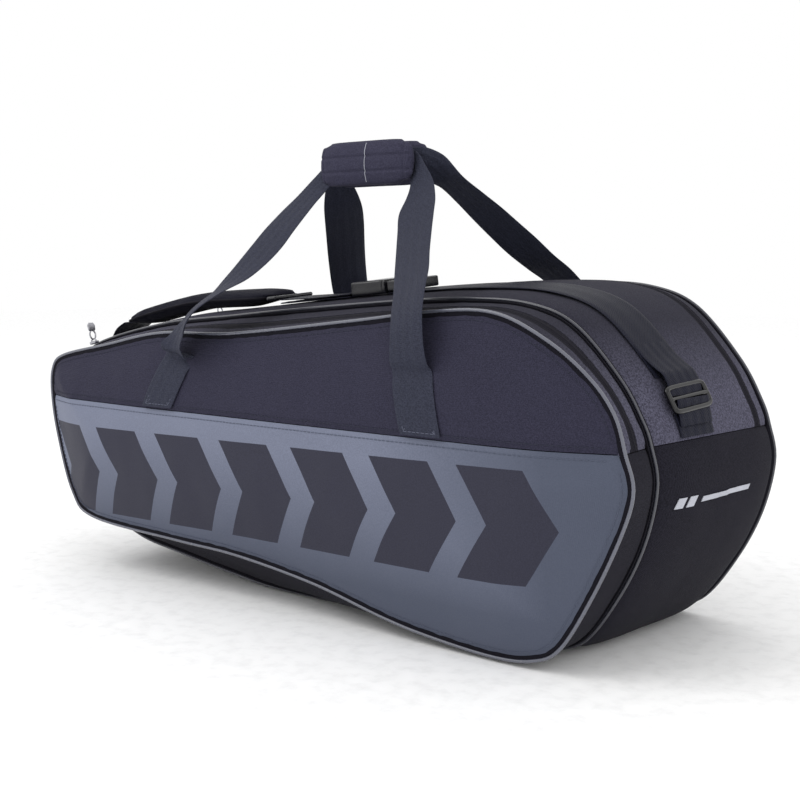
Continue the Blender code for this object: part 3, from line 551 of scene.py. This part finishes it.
def tube(points, radius, closed, sides=12, flat=1.0):
    """Vertices and faces of a round cord along a list of points."""
    last = len(points) - 1
    rings, side = [], None
    for i, p in enumerate(points):
        if closed:
            along = points[(i + 1) % (last + 1)] - points[i - 1]
        else:
            along = points[min(i + 1, last)] - points[max(i - 1, 0)]
        along = along.normalized()
        if side is None:
            side = along.orthogonal().normalized()
        side = (side - along * side.dot(along)).normalized()
        up = along.cross(side)
        turns = [2 * math.pi * k / sides for k in range(sides)]
        rings.append([p + side * radius * math.cos(a) + up * radius * flat * math.sin(a) for a in turns])
    return lofted(rings, closed)


def joined(parts):
    """One set of vertices and faces from several."""
    verts, faces = [], []
    for v, f in parts:
        base = len(verts)
        verts += v
        faces += [tuple(i + base for i in face) for face in f]
    return verts, faces


def stitches(line, normals, length=0.0032, gap=0.0014, radius=0.00035):
    """A row of short threads lying on a surface along a line."""
    total = sum((b - a).length for a, b in zip(line, line[1:]))
    count = max(2, int(total / (length + gap)))
    fine = resample(line, count * 4 + 1)
    ups = resample(normals, count * 4 + 1)
    parts = []
    for i in range(count):
        picks = []
        for k, rise in enumerate((-1, 1, 1, -1)):
            picks.append(fine[4 * i + k] + ups[4 * i + k].normalized() * THREAD_LIFT * rise)
        parts.append(tube(picks, radius, False, sides=5))
    return joined(parts)


def ribbon_rings(stations, width, thickness, spans, profile, scale=None):
    """Cross-sections of a strap along its stations, square at both ends.

    Profile points are (across, up) in -0.5..0.5.
    """
    centres = catmull([Vector(s[0]) for s in stations], False, spans)
    across = catmull([Vector(s[1]) for s in stations], False, spans)
    gather = catmull([Vector((s[2] if s[2:] else 1.0, 0)) for s in stations], False, spans)
    rings = []
    last = len(centres) - 1
    for i, centre in enumerate(centres):
        along = (centres[min(i + 1, last)] - centres[max(i - 1, 0)]).normalized()
        share = min(i, last - i, SQUARE_RINGS) / SQUARE_RINGS
        side = (across[i] - along * across[i].dot(along) * share).normalized()
        normal = side.cross(along).normalized()
        side = side * gather[i].x
        wide, thick = scale(i / last) if scale else (1.0, 1.0)
        rings.append([centre + side * width * a * wide + normal * thickness * b * thick for a, b in profile])
    return rings


def lofted(rings, closed=False):
    """Faces through rings of points, capped at both ends or joined into a loop."""
    count = len(rings[0])
    verts = [p for ring in rings for p in ring]
    faces = []
    for i in range(len(rings) if closed else len(rings) - 1):
        a, b = i * count, (i + 1) % len(rings) * count
        for k in range(count):
            m = (k + 1) % count
            faces.append((a + k, a + m, b + m, b + k))
    if not closed:
        faces.append(tuple(range(count))[::-1])
        faces.append(tuple((len(rings) - 1) * count + k for k in range(count)))
    return verts, faces


def strap_profile(ribs=4, depth=0.3, side=33):
    """Flat strap with rounded edges and shallow lengthwise ribs."""
    top = []
    for i in range(side):
        a = -0.5 + i / (side - 1)
        edge = 1 - abs(2 * a) ** 14
        rib = depth * (0.5 + 0.5 * math.cos(2 * math.pi * ribs * a))
        top.append((a, 0.5 * max(edge, 0.25) * (1 - depth + rib)))
    return top + [(a, -b) for a, b in reversed(top)]


STRAP, EDGED = strap_profile(), strap_profile(ribs=2, depth=0.22)
UPRIGHT = Matrix(((0, 0, 1, 0), (0, 1, 0, 0), (1, 0, 0, 0), (0, 0, 0, 1)))


def superellipse(width, height, power, count):
    """Outline between an ellipse and a rectangle, squarer as the power grows."""
    points = []
    for k in range(count):
        angle = 2 * math.pi * k / count
        c, s = math.cos(angle), math.sin(angle)
        points.append((0.5 * width * math.copysign(abs(c) ** (2 / power), c),
                       0.5 * height * math.copysign(abs(s) ** (2 / power), s)))
    return points


def taken(bm, edges, bevel):
    """Round those edges of a bmesh, read its vertices and faces, and free it."""
    bmesh.ops.bevel(bm, geom=edges, offset=bevel, segments=3, profile=0.5, affect="EDGES")
    bm.verts.index_update()
    part = [v.co.copy() for v in bm.verts], [tuple(v.index for v in f.verts) for f in bm.faces]
    bm.free()
    return part


def rounded_block(size, bevel):
    """Vertices and faces of a box with rounded edges, centred on the origin."""
    bm = bmesh.new()
    bmesh.ops.create_cube(bm, size=1.0)
    for vert in bm.verts:
        vert.co = Vector(c * s for c, s in zip(vert.co, size))
    return taken(bm, bm.edges[:], bevel)


def placed(part, matrix):
    """The same vertices and faces, moved by a matrix."""
    verts, faces = part
    return [matrix @ Vector(v) for v in verts], faces


def axes_at(origin, along, across, up):
    """Matrix that puts a piece's X, Y and Z along the given directions at a point."""
    return Matrix.Translation(origin) @ Matrix((along, across, up)).transposed().to_4x4()


# ---- padding ----
def baked(thing):
    """Replace the mesh by what its modifiers make of it."""
    graph = bpy.context.evaluated_depsgraph_get()
    mesh = bpy.data.meshes.new_from_object(thing.evaluated_get(graph))
    thing.modifiers.clear()
    thing.data = mesh


def puff(thing, cap, voxel=0.0042):
    """Swell a closed padded piece with a short cloth simulation, each point by at most cap."""
    remesh = thing.modifiers.new("even", "REMESH")
    remesh.mode = "VOXEL"
    remesh.voxel_size = voxel
    baked(thing)
    rest = [v.co.copy() for v in thing.data.vertices]
    cloth = thing.modifiers.new("cloth", "CLOTH")
    cloth.settings.quality = 5
    cloth.settings.mass = 0.15
    cloth.settings.use_pressure = True
    cloth.settings.uniform_pressure_force = 4.0
    cloth.settings.effector_weights.gravity = 0.0
    cloth.point_cache.frame_end = 20
    for at in range(1, 21):
        bpy.context.scene.frame_set(at)
    baked(thing)
    for vert, start in zip(thing.data.vertices, rest):
        move = vert.co - start
        if move.length > cap:
            vert.co = start + move * (cap / move.length)
    bpy.context.scene.frame_set(1)
    smooth = thing.modifiers.new("smooth", "SUBSURF")
    smooth.levels = smooth.render_levels = 2
    baked(thing)
    thing.data.shade_smooth()


def carve(wrap, y, sign):
    """Two quilted channels, end seams and small puckers across the wrap's outer side."""
    for vert in wrap.data.vertices:
        p = vert.co
        outside = max(0.0, min(1.0, sign * (p.y - y) / 0.004))
        a = p.z - GRIP_Z
        groove = sum(near(a - channel, 0.0013) for channel in GRIP_CHANNELS)
        groove += 0.8 * sum(near(p.x - end, 0.0012) for end in GRIP_ENDS)
        pucker = 0.0005 * noise.noise(Vector((p.x * 120, a * 160, y)))
        p.y -= sign * outside * (0.0013 * min(groove, 1.2) + pucker)


# ---- panels ----
def panel_point(p, face):
    """Outer point of a padded face: dome, seam tuck, rim tuck and creases."""
    rim = rim_distance(p.x, p.y, face)
    seam = abs(p.y - SEAM_Z)
    free = min(1.0, rim / 0.03) * min(1.0, seam / 0.02)
    tuck = 0.0016 * near(seam, 0.0035) + 0.001 * near(rim, 0.004)
    pucker = 0.0006 * near(min(seam, rim), 0.012) * noise.noise(Vector((p.x * 90, p.y * 90, 5)))
    lift = crumple(p.x, 0, p.y, 0.0016, 0.0007) * free - tuck + pucker
    return Vector((p.x, face_y(p.x, p.y, face) + SIDE[face] * lift, p.y))


def build_panel(face, which, material, body, slot):
    """Padded face on one side of the seam, in rows from the seam out to the rim."""
    rim_line = outline(EDGE_Y[face], which)
    first, last = rim_line[0], rim_line[-1]
    into = Vector((0, -SIDE[face] * FABRIC, 0))
    outer = []
    for share in spread(0.0, 1.0, PANEL_ROWS):
        eased = share - 0.12 * math.sin(2 * math.pi * share) / (2 * math.pi)
        row = []
        for i, edge_point in enumerate(rim_line):
            seam_point = first.lerp(last, i / (len(rim_line) - 1))
            row.append(panel_point(seam_point.lerp(edge_point, eased), face))
        outer.append(row)
    inner = [[p + into for p in row] for row in outer]
    name = f"{face}_{which}_panel"
    thing = grid_shell("padded_" + name, outer, inner, [MAT[material], MAT["lining"]])
    settle(thing, body, slot, name)


def build_band(name, which, y0, y1, rows, material, slot, body, tucks):
    """Strip of gusset between two depths, tucked in at its sewn edges."""
    outer, inner = [], []
    for y in spread(y0, y1, rows):
        face = outline(y, which)
        edge = min(y - y0, y1 - y)
        free = min(1.0, edge / 0.014)
        line_out, line_in = [], []
        for p, n in zip(face, outward(face)):
            dip = -tucks[0] * near(y - y0, 0.0035) - tucks[1] * near(y1 - y, 0.0035)
            dip += crumple(p.x, y, p.y, 0.001, 0.0005) * free
            dip -= 0.0012 * near(p.y - SEAM_Z, 0.003)
            dip += 0.0004 * near(edge, 0.01) * noise.noise(Vector((p.x * 80, p.y * 80, y * 20)))
            moved, back = p + n * dip, p + n * (dip - FABRIC)
            line_out.append(Vector((moved.x, y, max(moved.y, 0.0))))
            line_in.append(Vector((back.x, y, max(back.y, FABRIC))))
        outer.append(line_out)
        inner.append(line_in)
    thing = grid_shell("soft_" + name, outer, inner, [MAT[material], MAT["lining"]])
    settle(thing, body, slot, name)


def build_zip(name, y0, y1, coil_y, body):
    """Half of a zip: tape with two woven lines and its row of coil at the meeting edge."""
    outer, inner = [], []
    for t in spread(0.0, 1.0, 15):
        y = y0 + (y1 - y0) * t
        off = abs(y - coil_y)
        height = 0.0007 * near(off - 0.0014, 0.001)
        height += 0.00035 * (near(off - 0.0038, 0.0004) + near(off - 0.0052, 0.0004))
        outer.append(outline_3d(y, "upper", height - 0.0005))
        inner.append(outline_3d(y, "upper", -ZIP_THICK))
    thing = grid_shell("tape_" + name, outer, inner, [MAT["tape"], MAT["tape"]])
    settle(thing, body, "zip_tape", name)


def build_piping(name, y, which, body):
    """Coated cord, the sewn flange that holds it and a dark tape along each inner side; the front cord's light
    grey is a painted highlight, and the tapes are painted shade for the cord's shaded side.
    """
    loop = which == "loop"

    def run(depth, lift):
        if not loop:
            return outline_3d(depth, which, lift, trim=0.0)
        return outline_3d(depth, "upper", lift, trim=0.0) + outline_3d(depth, "lower", lift, trim=0.0)[1:-1]

    # The front cord takes the light grey that is a painted highlight; the other cords are dark.
    coating = "piping" if y == FRONT_Y else "dark_piping"
    add_piece("cord_" + name, tube(run(y, 0.0022), 0.0015, loop), coating, body, "piping_trim", name)
    across = Vector((0, 0.0005, 0))
    rings = []
    for a, b in zip(run(y, -0.003), run(y, 0.0014)):
        rings.append([a - across, a + across, b + across, b - across])
    parts = [lofted(rings + rings[:1] if loop else rings)]
    # Dark tapes beside the cord: painted shade for the cord's shaded side. The flange above them is real.
    for offset in {FRONT_Y: (0.003,), MIDDLE_Y: (-0.0032, 0.0032), REAR_Y: (-0.003,)}[y]:
        parts.append(tube(run(y + offset, 0.0001), 0.0022, loop, sides=8, flat=0.55))
    add_piece("flange_and_shade_tapes_" + name, joined(parts), "binding", body, "piping_trim")


def build_shell():
    """Faces, gussets, zips and piping."""
    zip_in, zip_out = FRONT_ZIP_Y + GAP / 2, FRONT_ZIP_Y - GAP / 2
    rear_in, rear_out = REAR_ZIP_Y - GAP / 2, REAR_ZIP_Y + GAP / 2
    build_panel("front", "lower", "panel_print", "main_body", "grey_panel")
    build_panel("front", "upper", "panel_dark", "front_flap", "dark_panel")
    build_panel("rear", "lower", "deep", "main_body", "base_fabric")
    build_panel("rear", "upper", "panel_dark", "rear_flap", "dark_panel")
    front, rear = FRONT_Y + 0.0004, REAR_Y - 0.0004
    ahead, behind = MIDDLE_Y - 0.0006, MIDDLE_Y + 0.0006
    lap = ZIP_HALF - 0.0008
    sewn, free = 0.0012, 0.0
    deep, pale = ("deep", "base_fabric"), ("heather", "heather_gusset")
    for name, which, y0, y1, rows, cloth, body, tucks in (
        ("front_gusset_lower", "lower", front, ahead, 18, deep, "main_body", (sewn, sewn)),
        ("front_gusset_band", "upper", zip_in + lap + 0.0006, ahead, 13, pale, "main_body", (free, sewn)),
        ("front_gusset_strip", "upper", front, zip_out - lap, 12, pale, "front_flap", (sewn, free)),
        ("main_gusset_lower", "lower", behind, rear, 44, deep, "main_body", (sewn, sewn)),
        ("main_gusset_upper", "upper", behind, rear_in - lap, 40, pale, "main_body", (sewn, free)),
        ("rear_gusset_strip", "upper", rear_out + lap, rear, 13, pale, "rear_flap", (free, sewn)),
    ):
        build_band(name, which, y0, y1, rows, *cloth, body, tucks)
    build_backing()
    build_mark()
    build_stitching()
    build_zip("front_zip_inner_half", zip_in, zip_in + ZIP_HALF, zip_in, "main_body")
    build_zip("front_zip_outer_half", zip_out - ZIP_HALF, zip_out, zip_out, "front_flap")
    build_zip("rear_zip_inner_half", rear_in - ZIP_HALF, rear_in, rear_in, "main_body")
    build_zip("rear_zip_outer_half", rear_out, rear_out + ZIP_HALF, rear_out, "rear_flap")
    for face, y in EDGE_Y.items():
        build_piping(f"{face}_piping_lower", y, "lower", "main_body")
        build_piping(f"{face}_piping_upper", y, "upper", f"{face}_flap")
    build_piping("middle_piping", MIDDLE_Y, "loop", "main_body")


def build_stitching():
    """Rows of thread beside the seam across each face and inside its piping."""
    for face, sign in SIDE.items():
        out = Vector((0, sign, 0))
        for which, body, side in (("upper", f"{face}_flap", 1), ("lower", "main_body", -1)):
            flat = [Vector((x, SEAM_Z + side * 0.005)) for x in spread(-0.348, 0.35, 160)]
            edge = outline(EDGE_Y[face], which, -0.0062, trim=0.012)
            parts = []
            for run in (flat, edge):
                line = [panel_point(p, face) + out * THREAD_LIFT for p in run]
                parts.append(stitches(line, [out] * len(line)))
            colour = "panel_thread" if (face, which) == ("front", "lower") else "thread"
            add_piece(f"{face}_{which}_stitching", joined(parts), colour, body, "piping_trim")


def build_mark():
    """Small plain mark at the wide end: two slanted dashes and a bar."""
    line = outline(0.03, "lower", 0.0, steps=900)
    base = min(range(len(line)), key=lambda i: abs(line[i].y - MARK_Z) + (0.5 if line[i].x < 0 else 0))
    parts = []
    for y0, y1, half in ((-0.045, -0.034, 0.0045), (-0.029, -0.018, 0.0045), (-0.008, 0.07, 0.0022)):
        rings = []
        for share in spread(0.0, 1.0, 14):
            ring = []
            for z_off, lift in ((-half, 0.0), (half, 0.0), (half, 0.0005), (-half, 0.0005)):
                y = y0 + (y1 - y0) * share + 0.5 * z_off
                edge = outline_3d(y, "lower", lift + 0.0006, steps=900)
                at = min(range(base - 60, base + 60), key=lambda i: abs(edge[i].z - MARK_Z - z_off))
                ring.append(edge[at])
            rings.append(ring)
        parts.append(lofted(rings))
    add_piece("end_mark_print", joined(parts), "mark", "main_body", "base_fabric")


def build_backing():
    """Tape sewn inside along the seams, so no light shows through their gaps."""
    parts = []
    for which in ("upper", "lower"):
        for end in (slice(0, 10), slice(-10, None)):
            rows = []
            for y in spread(FRONT_Y + 0.002, REAR_Y - 0.002, 30):
                near_side = outline_3d(y, which, -FABRIC - 0.0003, 0.0, 300)[end]
                far_side = outline_3d(y, which, -FABRIC - 0.0009, 0.0, 300)[end]
                rows.append(near_side + far_side[::-1])
            parts.append(lofted(rows))
    for face, sign in SIDE.items():
        rows = []
        for x in spread(-0.345, 0.35, 60):
            y = face_y(x, SEAM_Z, face) - sign * (FABRIC + 0.0032)
            rows.append([Vector((x, y + a, SEAM_Z + b)) for a, b in
                         ((-0.0003, -0.006), (0.0003, -0.006), (0.0003, 0.006), (-0.0003, 0.006))])
        parts.append(lofted(rows))
    add_piece("seam_backing_tape", joined(parts), "binding", "main_body", "lining")


# ---- handles ----
def anchor_stations(face, side, low_x, high_x):
    """Webbing sewn flat on an upper face, from the seam to the fold line."""
    half = HANDLE_WIDTH / 2
    stations = []
    for share in (0.0, 0.35, 0.7, 1.0):
        x = low_x + (high_x - low_x) * share
        z = 0.1925 + 0.0525 * share
        surface = max(abs(face_y(x + d, z, face)) for d in (-half, 0.0, half))
        stations.append(((x, SIDE[face] * (surface + 0.0019), z), (side, 0, 0)))
    return stations


def build_handles():
    """Both carrying handles with their anchors, thread and grip halves."""
    for face, stations in (("front", FRONT_HANDLE), ("rear", REAR_HANDLE)):
        sign = SIDE[face]
        left = anchor_stations(face, -1, *ANCHOR_LEAN[0])
        right = anchor_stations(face, 1, *ANCHOR_LEAN[1])
        rings = ribbon_rings(left + stations + right[::-1], HANDLE_WIDTH, WEBBING, 7, STRAP)
        fold = (f"{face}_flap", f"{face}_handle", (0, sign * 0.144, 0.243), (0, sign * 0.144, 0.262))
        add_piece(f"{face}_handle_strap", lofted(rings), "web", fold, "webbing",
                  f"{face}_handle_webbing", f"{face}_handle_anchor_left", f"{face}_handle_anchor_right")
        for name, run in (("left", left), ("right", right)):
            sew_box(f"{face}_anchor_{name}_stitching", run, sign, f"{face}_flap")
        build_grip(face, sign * (HANDLE_Y + WEBBING / 2 + 0.0023 + 0.0065), sign)


def sew_box(name, run, sign, body):
    """Sewn square with crossed diagonals on the end of a strap."""
    low, high = Vector(run[0][0]), Vector(run[-1][0])
    corners = []
    for a, b in ((-0.4, 0.06), (0.4, 0.06), (0.4, 0.72), (-0.4, 0.72)):
        corners.append(low.lerp(high, b) + Vector((a * HANDLE_WIDTH, sign * (WEBBING / 2 + THREAD_LIFT), 0)))
    out = Vector((0, sign, 0))
    parts = []
    for a, b in ((0, 1), (1, 2), (2, 3), (3, 0), (0, 2), (1, 3)):
        parts.append(stitches([corners[a], corners[b]], [out, out]))
    add_piece(name, joined(parts), "pale_thread", body, "webbing")


def build_grip(face, y, sign):
    """One padded half of the wrap, crowned outside, and the pale thread down its middle."""
    rings = []
    for t in spread(-1.0, 1.0, 49):
        end = 1 - abs(t) ** 6
        x = GRIP_X + 0.5 * GRIP_LENGTH * t
        ring = []
        for a, b in superellipse(GRIP_HEIGHT, GRIP_THICK, 2.5, 40):
            crown = 1 + 0.1 * (1 - (2 * a / GRIP_HEIGHT) ** 2)
            depth = b * crown * (0.45 + 0.55 * end)
            droop = -0.0022 * max(0.0, -t) ** 3 if a < 0 else 0.0
            ring.append(Vector((x, y + sign * depth, GRIP_Z + a * (0.68 + 0.32 * end) + droop)))
        rings.append(ring)
    wrap = add_mesh(f"{face}_grip_wrap", *lofted(rings), [MAT["grip"]], crease=60)
    puff(wrap, 0.0034)
    carve(wrap, y, sign)
    settle(wrap, f"{face}_handle", "grip_wrap", f"{face}_grip_pad")
    mesh = wrap.data
    skin = BVHTree.FromPolygons([v.co for v in mesh.vertices], [tuple(f.vertices) for f in mesh.polygons])
    seam = []
    for a in spread(-0.42, 0.42, 22):
        start = Vector((0.018, sign * 0.05, GRIP_Z + a * GRIP_HEIGHT))
        hit = skin.ray_cast(start, Vector((0, -sign, 0)))[0]
        if hit:
            seam.append(hit + Vector((0, sign * 0.0001, 0)))
    thread = tube(seam, 0.0003, False, sides=6)
    add_piece(f"{face}_grip_seam_thread", thread, "mark", f"{face}_handle", "grip_wrap")


# ---- shoulder strap ----
def strap_line(lift):
    """Strap stations all along the main gusset, raised by lift."""
    half = STRAP_WIDTH / 2
    edges = [outline_3d(STRAP_Y + side, "upper", lift, steps=400) for side in (-half, half)]
    return [((a + b) / 2, (b - a).normalized()) for a, b in zip(*edges)]


def nearest(line, x, z):
    """Index of the station closest to (x, z)."""
    return min(range(len(line)), key=lambda i: math.hypot(line[i][0].x - x, line[i][0].z - z))


def strap_run(start, stop, lifts, count):
    """Stations over the gusset from one (x, z) to another, through the given heights above it."""
    lines = [strap_line(lift) for lift in lifts]
    first, last = nearest(lines[0], *start), nearest(lines[0], *stop)
    top = len(lines) - 1
    stations = []
    for share in spread(0.0, 1.0, count):
        at = round(first + (last - first) * share)
        step = min(int(share * top), max(top - 1, 0))
        low, high = lines[step][at], lines[min(step + 1, top)][at]
        stations.append((low[0].lerp(high[0], share * top - step), low[1]))
    return stations


def seat(x, z, lift):
    """Matrix for a piece lying on the gusset: X along the strap, Y across, Z up."""
    line = strap_line(lift)
    at = nearest(line, x, z)
    along = (line[at + 2][0] - line[at - 2][0]).normalized()
    across = (line[at][1] - along * along.dot(line[at][1])).normalized()
    return axes_at(line[at][0], along, across, along.cross(across))


def lay_strap(name, stations, body, *nodes, profile=STRAP, spans=4, width=STRAP_WIDTH):
    """Length of strap webbing through the stations."""
    rings = ribbon_rings(stations, width, WEBBING, spans, profile)
    add_piece(name, lofted(rings), "web_dark", body, "webbing", *nodes)


def build_strap():
    """Shoulder strap from its left tab over the top to its right tab, with its fittings."""
    on = [WEBBING / 2 + 0.0008]

    def lay(name, start, stop, lifts, count, *nodes, **shape):
        lay_strap(name, strap_run(start, stop, lifts, count), "main_body", *nodes, **shape)

    lay("left_tab_strap", (-0.368, 0.1925), (-0.362, 0.232), on, 8, "strap_left_tab")
    rise = []
    for x, z, lift in ((-0.36, 0.24, 0.005), (-0.345, 0.252, 0.011), (-0.332, 0.262, 0.014)):
        line = strap_line(lift)
        rise.append(line[nearest(line, x, z)])
    lay_strap("left_strap", rise, "shoulder_strap", "strap_left_webbing", spans=8)
    build_pad()
    for layer, lifts in (("lower", [0.0024, 0.0018]), ("upper", [0.006, 0.0042, 0.0046])):
        lay(f"adjust_strap_{layer}", (-0.083, 0.305), (0.012, 0.312), lifts, 10, f"strap_adjust_{layer}")
    lay("right_strap", (0.062, 0.312), (0.345, 0.241), on, 40, "strap_right_webbing", profile=EDGED, spans=2)
    lay("lock_upper_fold", (0.32, 0.264), (0.359, 0.2275), [0.0022, 0.0034, 0.0092, 0.006], 9, width=FOLD_WIDTH)
    lay("lock_lower_fold", (0.361, 0.2235), (0.366, 0.203), [0.0098, 0.006, 0.0036], 7, width=FOLD_WIDTH)
    lay("right_tab_strap", (0.36, 0.212), (0.368, 0.1925), on, 6, "strap_right_tab")
    build_buckle()
    build_lock()


def build_pad():
    """Padded part of the shoulder strap, its bound edge and the ring at its end."""
    stations = strap_run((-0.328, 0.27), (-0.104, 0.302), [0.0135, 0.014, 0.0096], 16)
    profile = superellipse(1.0, 1.0, 2.6, 44)

    def taper(t):
        end = 1 - abs(2 * t - 1) ** 12
        return 0.8 + 0.2 * end, 0.3 + 0.7 * end ** 0.7

    rings = ribbon_rings(stations, 0.058, 0.0125, 5, profile, taper)
    pad = add_mesh("shoulder_strap_pad", *lofted(rings), [MAT["pad"]], crease=60)
    puff(pad, 0.003)
    settle(pad, "shoulder_strap", "strap_pad", "shoulder_pad")
    edge = [ring[0] for ring in rings[2:-2]] + [ring[22] for ring in reversed(rings[2:-2])]
    trim = tube(edge, 0.0014, True, sides=8)
    add_piece("shoulder_pad_binding", trim, "binding", "shoulder_strap", "strap_pad")
    place = seat(-0.094, 0.3, 0.0085)
    loop = [place @ Vector((x, y, 0)) for x, y in superellipse(0.015, 0.056, 6, 48)]
    ring = tube(loop, 0.0021, True, sides=10)
    add_piece("pad_end_ring", ring, "plastic", "shoulder_strap", "moulded_plastic", "pad_ring")


def extruded(points, low, high, bevel):
    """Rounded plate from a flat outline of (x, y) points."""
    bm = bmesh.new()
    face = bm.faces.new([bm.verts.new((x, y, low)) for x, y in points])
    top = bmesh.ops.extrude_face_region(bm, geom=[face])
    for vert in [v for v in top["geom"] if isinstance(v, bmesh.types.BMVert)]:
        vert.co.z = high
    level = [e for e in bm.edges if abs(e.verts[0].co.z - e.verts[1].co.z) < 1e-6]
    return taken(bm, level, bevel)


def mirrored(half_outline):
    """A flat outline closed by its own mirror image in Y."""
    return half_outline + [(x, -y) for x, y in reversed(half_outline)]


def build_buckle():
    """Side-release buckle: socket with side windows, plug with two prongs, a tongue and ridges."""
    place = seat(0.05, 0.312, 0.0088)
    socket_side = [(-0.0215, 0.027), (-0.0205, 0.0292), (0.002, 0.0298), (0.01, 0.0262),
                   (0.017, 0.0262), (0.0212, 0.0286)]
    socket = extruded(mirrored(socket_side), -0.007, 0.007, 0.0022)
    socket = placed(socket, place @ Matrix.Translation((-0.014, 0, 0)))
    add_piece("side_release_socket", socket, "plastic", "main_body", "moulded_plastic", "buckle_socket")
    plug_place = place @ Matrix.Translation((0.008 + GAP + 0.013, 0, 0))
    plug_side = [(-0.0128, 0.0262), (0.009, 0.0262), (0.0125, 0.0235)]
    parts = [placed(extruded(mirrored(plug_side), -0.0052, 0.0052, 0.0016), plug_place)]
    for size, bevel, at in (
        ((0.025, 0.005, 0.005), 0.0012, (-0.0255, -0.0145, 0)),
        ((0.025, 0.005, 0.005), 0.0012, (-0.0255, 0.0145, 0)),
        ((0.019, 0.006, 0.004), 0.001, (-0.0225, 0, 0)),
        ((0.0016, 0.036, 0.0012), 0.0004, (-0.003, 0, 0.0053)),
        ((0.0016, 0.036, 0.0012), 0.0004, (0.004, 0, 0.0053)),
    ):
        parts.append(placed(rounded_block(size, bevel), plug_place @ Matrix.Translation(at)))
    plug = joined(parts)
    add_piece("side_release_plug", plug, "plastic", "buckle_plug_body", "moulded_plastic", "buckle_plug")


def build_lock():
    """Ladder lock: a rounded frame with one bar across."""
    place = seat(0.36, 0.226, 0.0064)
    frame_line = [place @ Vector((x, y, 0)) for x, y in superellipse(0.0215, 0.056, 7, 60)]
    bar = [place @ Vector((0, y, 0.0002)) for y in spread(-0.0275, 0.0275, 8)]
    lock = joined([tube(frame_line, 0.0026, True, sides=10), tube(bar, 0.0025, False, sides=10)])
    add_piece("strap_ladder_lock", lock, "lock_plastic", "main_body", "moulded_plastic", "ladder_lock")


# ---- zip sliders ----
def build_slider(name, y, x, z, pull_length, body, pull_body):
    """Slider shell with its bridge, and a standing pull with a wire eye and a rounded end."""
    line = outline(y, "upper", 0.0037, steps=400)
    at = min(range(len(line)), key=lambda i: math.hypot(line[i].x - x, line[i].y - z))
    along = (line[at + 2] - line[at - 2]).normalized()
    place = axes_at((line[at].x, y, line[at].y), Vector((along.x, 0, along.y)), Vector((0, 1, 0)),
                    Vector((-along.y, 0, along.x)))
    wedge = mirrored([(-0.0055, 0.0018), (-0.001, 0.0026), (0.0055, 0.0026)])
    arch = []
    for a in spread(0, math.pi, 12):
        arch.append(place @ Vector((0.0042 * math.cos(a), 0, 0.0016 + 0.0028 * math.sin(a))))
    parts = [placed(extruded(wedge, -0.0012, 0.0018, 0.0006), place), tube(arch, 0.0008, False, sides=8)]
    add_piece(f"{name}_slider_shell", joined(parts), "metal", body, "zip_metal", f"{name}_slider")
    eye = []
    for a in spread(0, 2 * math.pi, 25)[:-1]:
        eye.append(place @ Vector((0, 0.0038 * math.cos(a), 0.0042 + 0.005 * (1 + math.sin(a)))))
    tab = mirrored([(0.0135, 0.0035), (0.015, 0.0046), (pull_length, 0.005), (pull_length + 0.003, 0.003)])
    tab = placed(extruded(tab, -0.0009, 0.0009, 0.0005), place @ UPRIGHT)
    pull = joined([tube(eye, 0.0009, True, sides=8), tab])
    add_piece(f"{name}_pull_tab", pull, "metal", pull_body, "zip_metal", f"{name}_pull")


def build_sliders():
    """The two sliders of the front zip and the one of the rear zip."""
    build_slider("front_zip_upper", -0.0926, -0.317, 0.248, 0.02, "front_upper_slider", "front_upper_pull")
    build_slider("front_zip_lower", -0.0926, -0.3604, 0.2106, 0.024, "front_lower_slider", "front_lower_pull")
    build_slider("rear_zip", 0.0918, -0.3042, 0.269, 0.02, "rear_slider", "rear_pull")


# ---- setting ----
def build_setting():
    """Pale floor, white surroundings, three soft lights and the camera."""
    floor = add_mesh("floor", [(-6, -6, 0), (6, -6, 0), (6, 6, 0), (-6, 6, 0)], [(0, 1, 2, 3)],
                     [plain_material("pale_floor", (0.99, 0.99, 0.99, 1.0), 0.9, specular=0.1)])
    world = bpy.data.worlds.new("studio")
    world.use_nodes = True
    background = world.node_tree.nodes["Background"]
    background.inputs["Color"].default_value = (1.0, 1.0, 1.0, 1.0)
    background.inputs["Strength"].default_value = 1.0
    scene = bpy.context.scene
    scene.world = world
    for name, place, size, power in (
        ("key", (-1.2, -1.6, 2.2), 1.6, 20),
        ("fill", (2.2, -0.8, 1.2), 1.6, 5),
        ("top", (0.0, 0.3, 2.6), 2.0, 3),
    ):
        light = bpy.data.lights.new(name, "AREA")
        light.shape = "SQUARE"
        light.size = size
        light.energy = power
        lamp = linked(name, light)
        lamp.location = place
        lamp.rotation_euler = (Vector((0, 0, 0.2)) - Vector(place)).to_track_quat("-Z", "Y").to_euler()
    view = bpy.data.cameras.new("camera")
    view.lens = 56.25
    view.sensor_width = 36.0
    camera = linked("camera", view)
    camera.location = (0.817, -0.986, 0.3435)
    camera.rotation_euler = (math.radians(83.5), 0.0, math.radians(38.0))
    scene.camera = camera
    scene.view_settings.view_transform = "Standard"


build_shell()
build_handles()
build_strap()
build_sliders()
for node, material in (("divider_panel", "lining"), ("base_board", "plastic")):
    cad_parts[node].data.materials.clear()
    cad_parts[node].data.materials.append(MAT[material])
build_setting()
